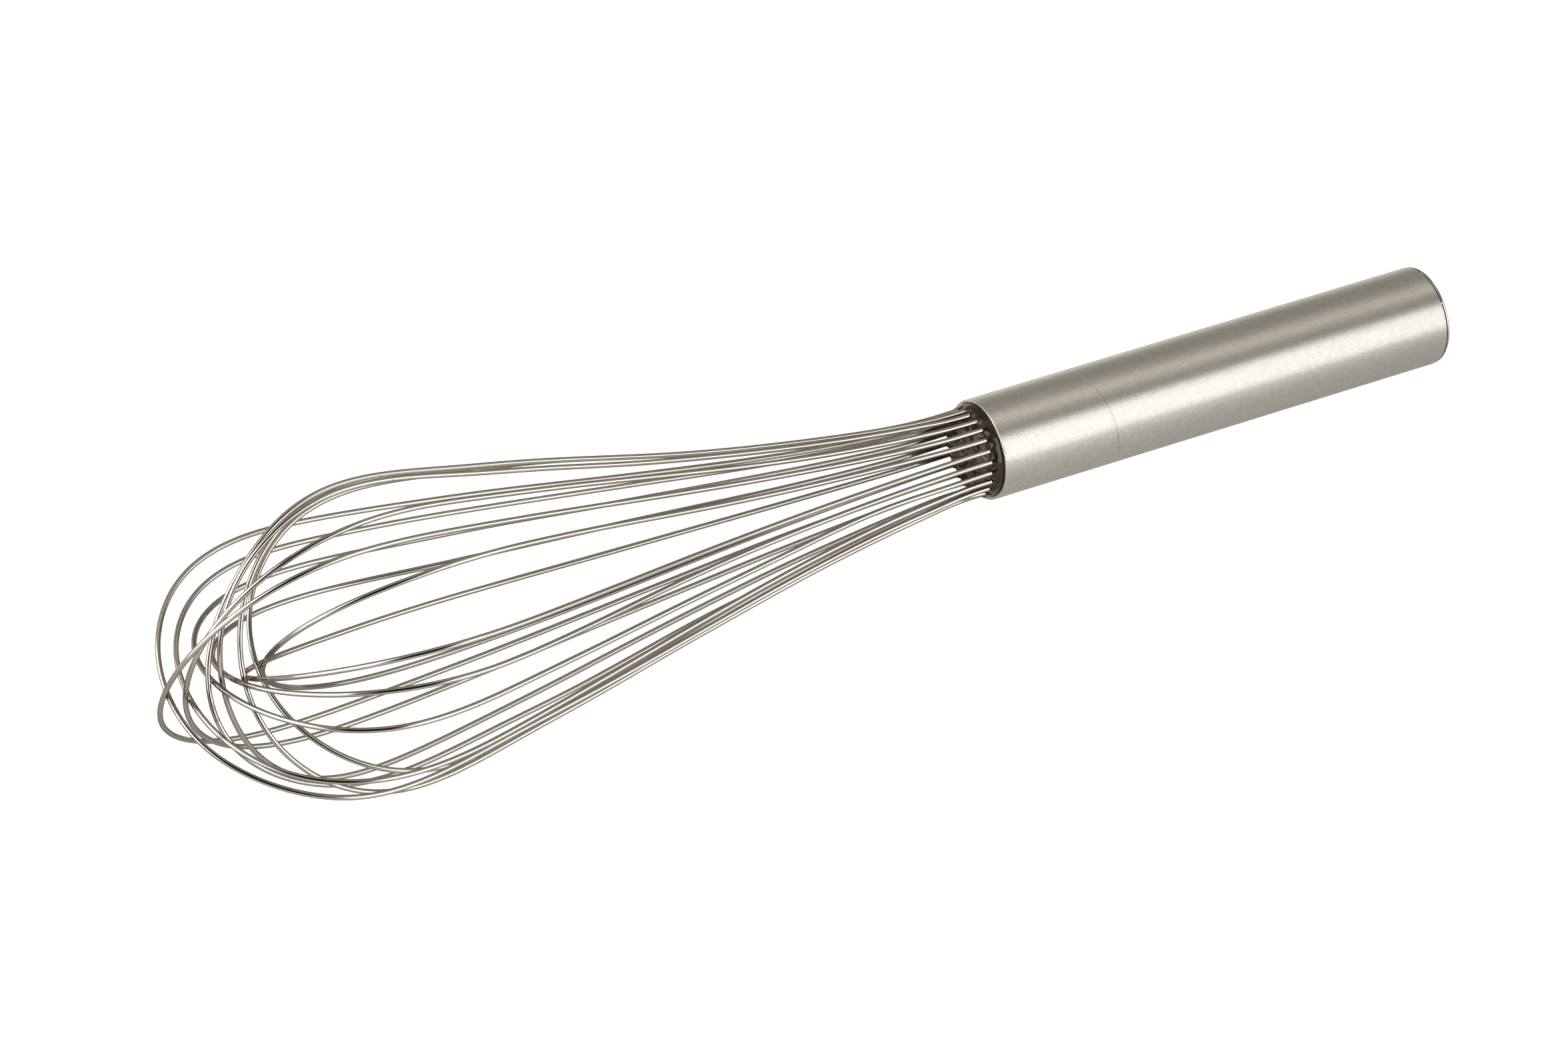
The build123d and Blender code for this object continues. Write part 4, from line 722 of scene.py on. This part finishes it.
STRIP_C = room_dir(0.406, 0.124, 0.905)
STRIP_S = room_dir(-0.293, 0.956, 0.0)
wd = bpy.data.worlds.new("studio")
bpy.context.scene.world = wd
wd.use_nodes = True
wt = wd.node_tree
wt.nodes.clear()
wo = wt.nodes.new("ShaderNodeOutputWorld")
bg = wt.nodes.new("ShaderNodeBackground")
wt.links.new(bg.outputs[0], wo.inputs[0])
tc = wt.nodes.new("ShaderNodeTexCoord")


def wdot(v):
    n = wt.nodes.new("ShaderNodeVectorMath")
    n.operation = "DOT_PRODUCT"
    wt.links.new(tc.outputs["Generated"], n.inputs[0])
    n.inputs[1].default_value = tuple(float(x) for x in v)
    return n.outputs["Value"]


def wmath(op, a, b=None):
    n = wt.nodes.new("ShaderNodeMath")
    n.operation = op
    for i, x in enumerate((a, b)):
        if x is None:
            continue
        if isinstance(x, (int, float)):
            n.inputs[i].default_value = x
        else:
            wt.links.new(x, n.inputs[i])
    return n.outputs[0]


def wstep(x, a, b):
    n = wt.nodes.new("ShaderNodeMapRange")
    n.interpolation_type = "SMOOTHSTEP"
    wt.links.new(x, n.inputs["Value"])
    for name, v in (("From Min", a), ("From Max", b), ("To Min", 0.0), ("To Max", 1.0)):
        n.inputs[name].default_value = v
    return n.outputs["Result"]


def wbox(x, y, x0, x1, y0, y1, sx=3.0, sy=3.0):
    m = wmath("MULTIPLY", wstep(x, x0 - sx, x0 + sx), wmath("SUBTRACT", 1.0, wstep(x, x1 - sx, x1 + sx)))
    n = wmath("MULTIPLY", wstep(y, y0 - sy, y0 + sy), wmath("SUBTRACT", 1.0, wstep(y, y1 - sy, y1 + sy)))
    return wmath("MULTIPLY", m, n)


def wramp(x, stops):
    r = wt.nodes.new("ShaderNodeValToRGB")
    wt.links.new(wmath("ADD", wmath("DIVIDE", x, 360.0), 0.5), r.inputs[0])
    el = r.color_ramp.elements
    while len(el) < len(stops):
        el.new(0.5)
    for e, (deg, c) in zip(el, stops):
        e.position = deg / 360 + 0.5
        e.color = (*c, 1)
    return r.outputs[0]


def wmix(fac, a, b):
    n = wt.nodes.new("ShaderNodeMix")
    n.data_type = "RGBA"
    wt.links.new(fac, n.inputs[0])
    for s, x in ((n.inputs[6], a), (n.inputs[7], b)):
        if isinstance(x, tuple):
            s.default_value = (*x, 1)
        else:
            wt.links.new(x, s)
    return n.outputs[2]


f_, e_, t_ = wdot(FRONT), wdot(EAST), wdot(TOP)
rho = wmath("MULTIPLY", wmath("ARCCOSINE", f_), 180 / math.pi)
side = wmath("ADD", wmath("SQRT", wmath("ADD", wmath("MULTIPLY", e_, e_), wmath("MULTIPLY", t_, t_))), 1e-5)
WX = wmath("DIVIDE", wmath("MULTIPLY", rho, e_), side)
WY = wmath("DIVIDE", wmath("MULTIPLY", rho, t_), side)


def grey(v, warm=1.0):
    """Radiance / 2.4 with the room's warm cast."""
    v = v / 2.4
    return (v, v * (1 - 0.045 * warm), v * (1 - 0.19 * warm))


room = wramp(WX, [(-180, grey(0.68, 0.3)), (-125, grey(0.95, 0.3)), (-92, grey(0.74, 0.5)), (-60, grey(0.46)),
                  (-25, grey(0.31)), (60, grey(0.28)), (110, grey(0.31)), (150, grey(0.50, 0.6)), (180, grey(0.64, 0.4))])
band = wbox(WX, WY, -105, 35, 47, 63, 25, 6)
room = wmix(wmath("MULTIPLY", band, 0.75), room, grey(0.80, 0.9))
# a long dim strip overhead, running the way the handle points
c_, s_ = wdot(STRIP_C), wdot(STRIP_S)
PSI = wmath("MULTIPLY", wmath("ARCTAN2", s_, c_), 180 / math.pi)
room = wmix(wmath("MULTIPLY", wmath("SUBTRACT", wstep(PSI, 40, 55), wstep(PSI, 58, 78)), 0.85), room, grey(0.76, 1.35))
low = wmath("SUBTRACT", 1.0, wstep(WY, -60, -30))
room = wmix(low, room, grey(0.60, 0.5))
room = wmix(wbox(WX, WY, -80, -19, -30, 44, 4, 5), room, grey(2.8, 0.02))
room = wmix(wbox(WX, WY, 33, 84, -42, 27, 4, 5), room, grey(2.75, 0.02))
room = wmix(wbox(WX, WY, -9, 25, -44, 40, 4, 6), room, grey(0.02))
# the surround is plain white where it is seen directly, like the floor
wlp = wt.nodes.new("ShaderNodeLightPath")
room = wmix(wlp.outputs["Is Camera Ray"], room, (0.42, 0.42, 0.42))
wt.links.new(room, bg.inputs["Color"])
bg.inputs["Strength"].default_value = 2.4

scene = bpy.context.scene
scene.view_settings.view_transform = "Standard"
scene.view_settings.look = "None"
scene.view_settings.exposure = 0.0
scene.view_settings.gamma = 1.0
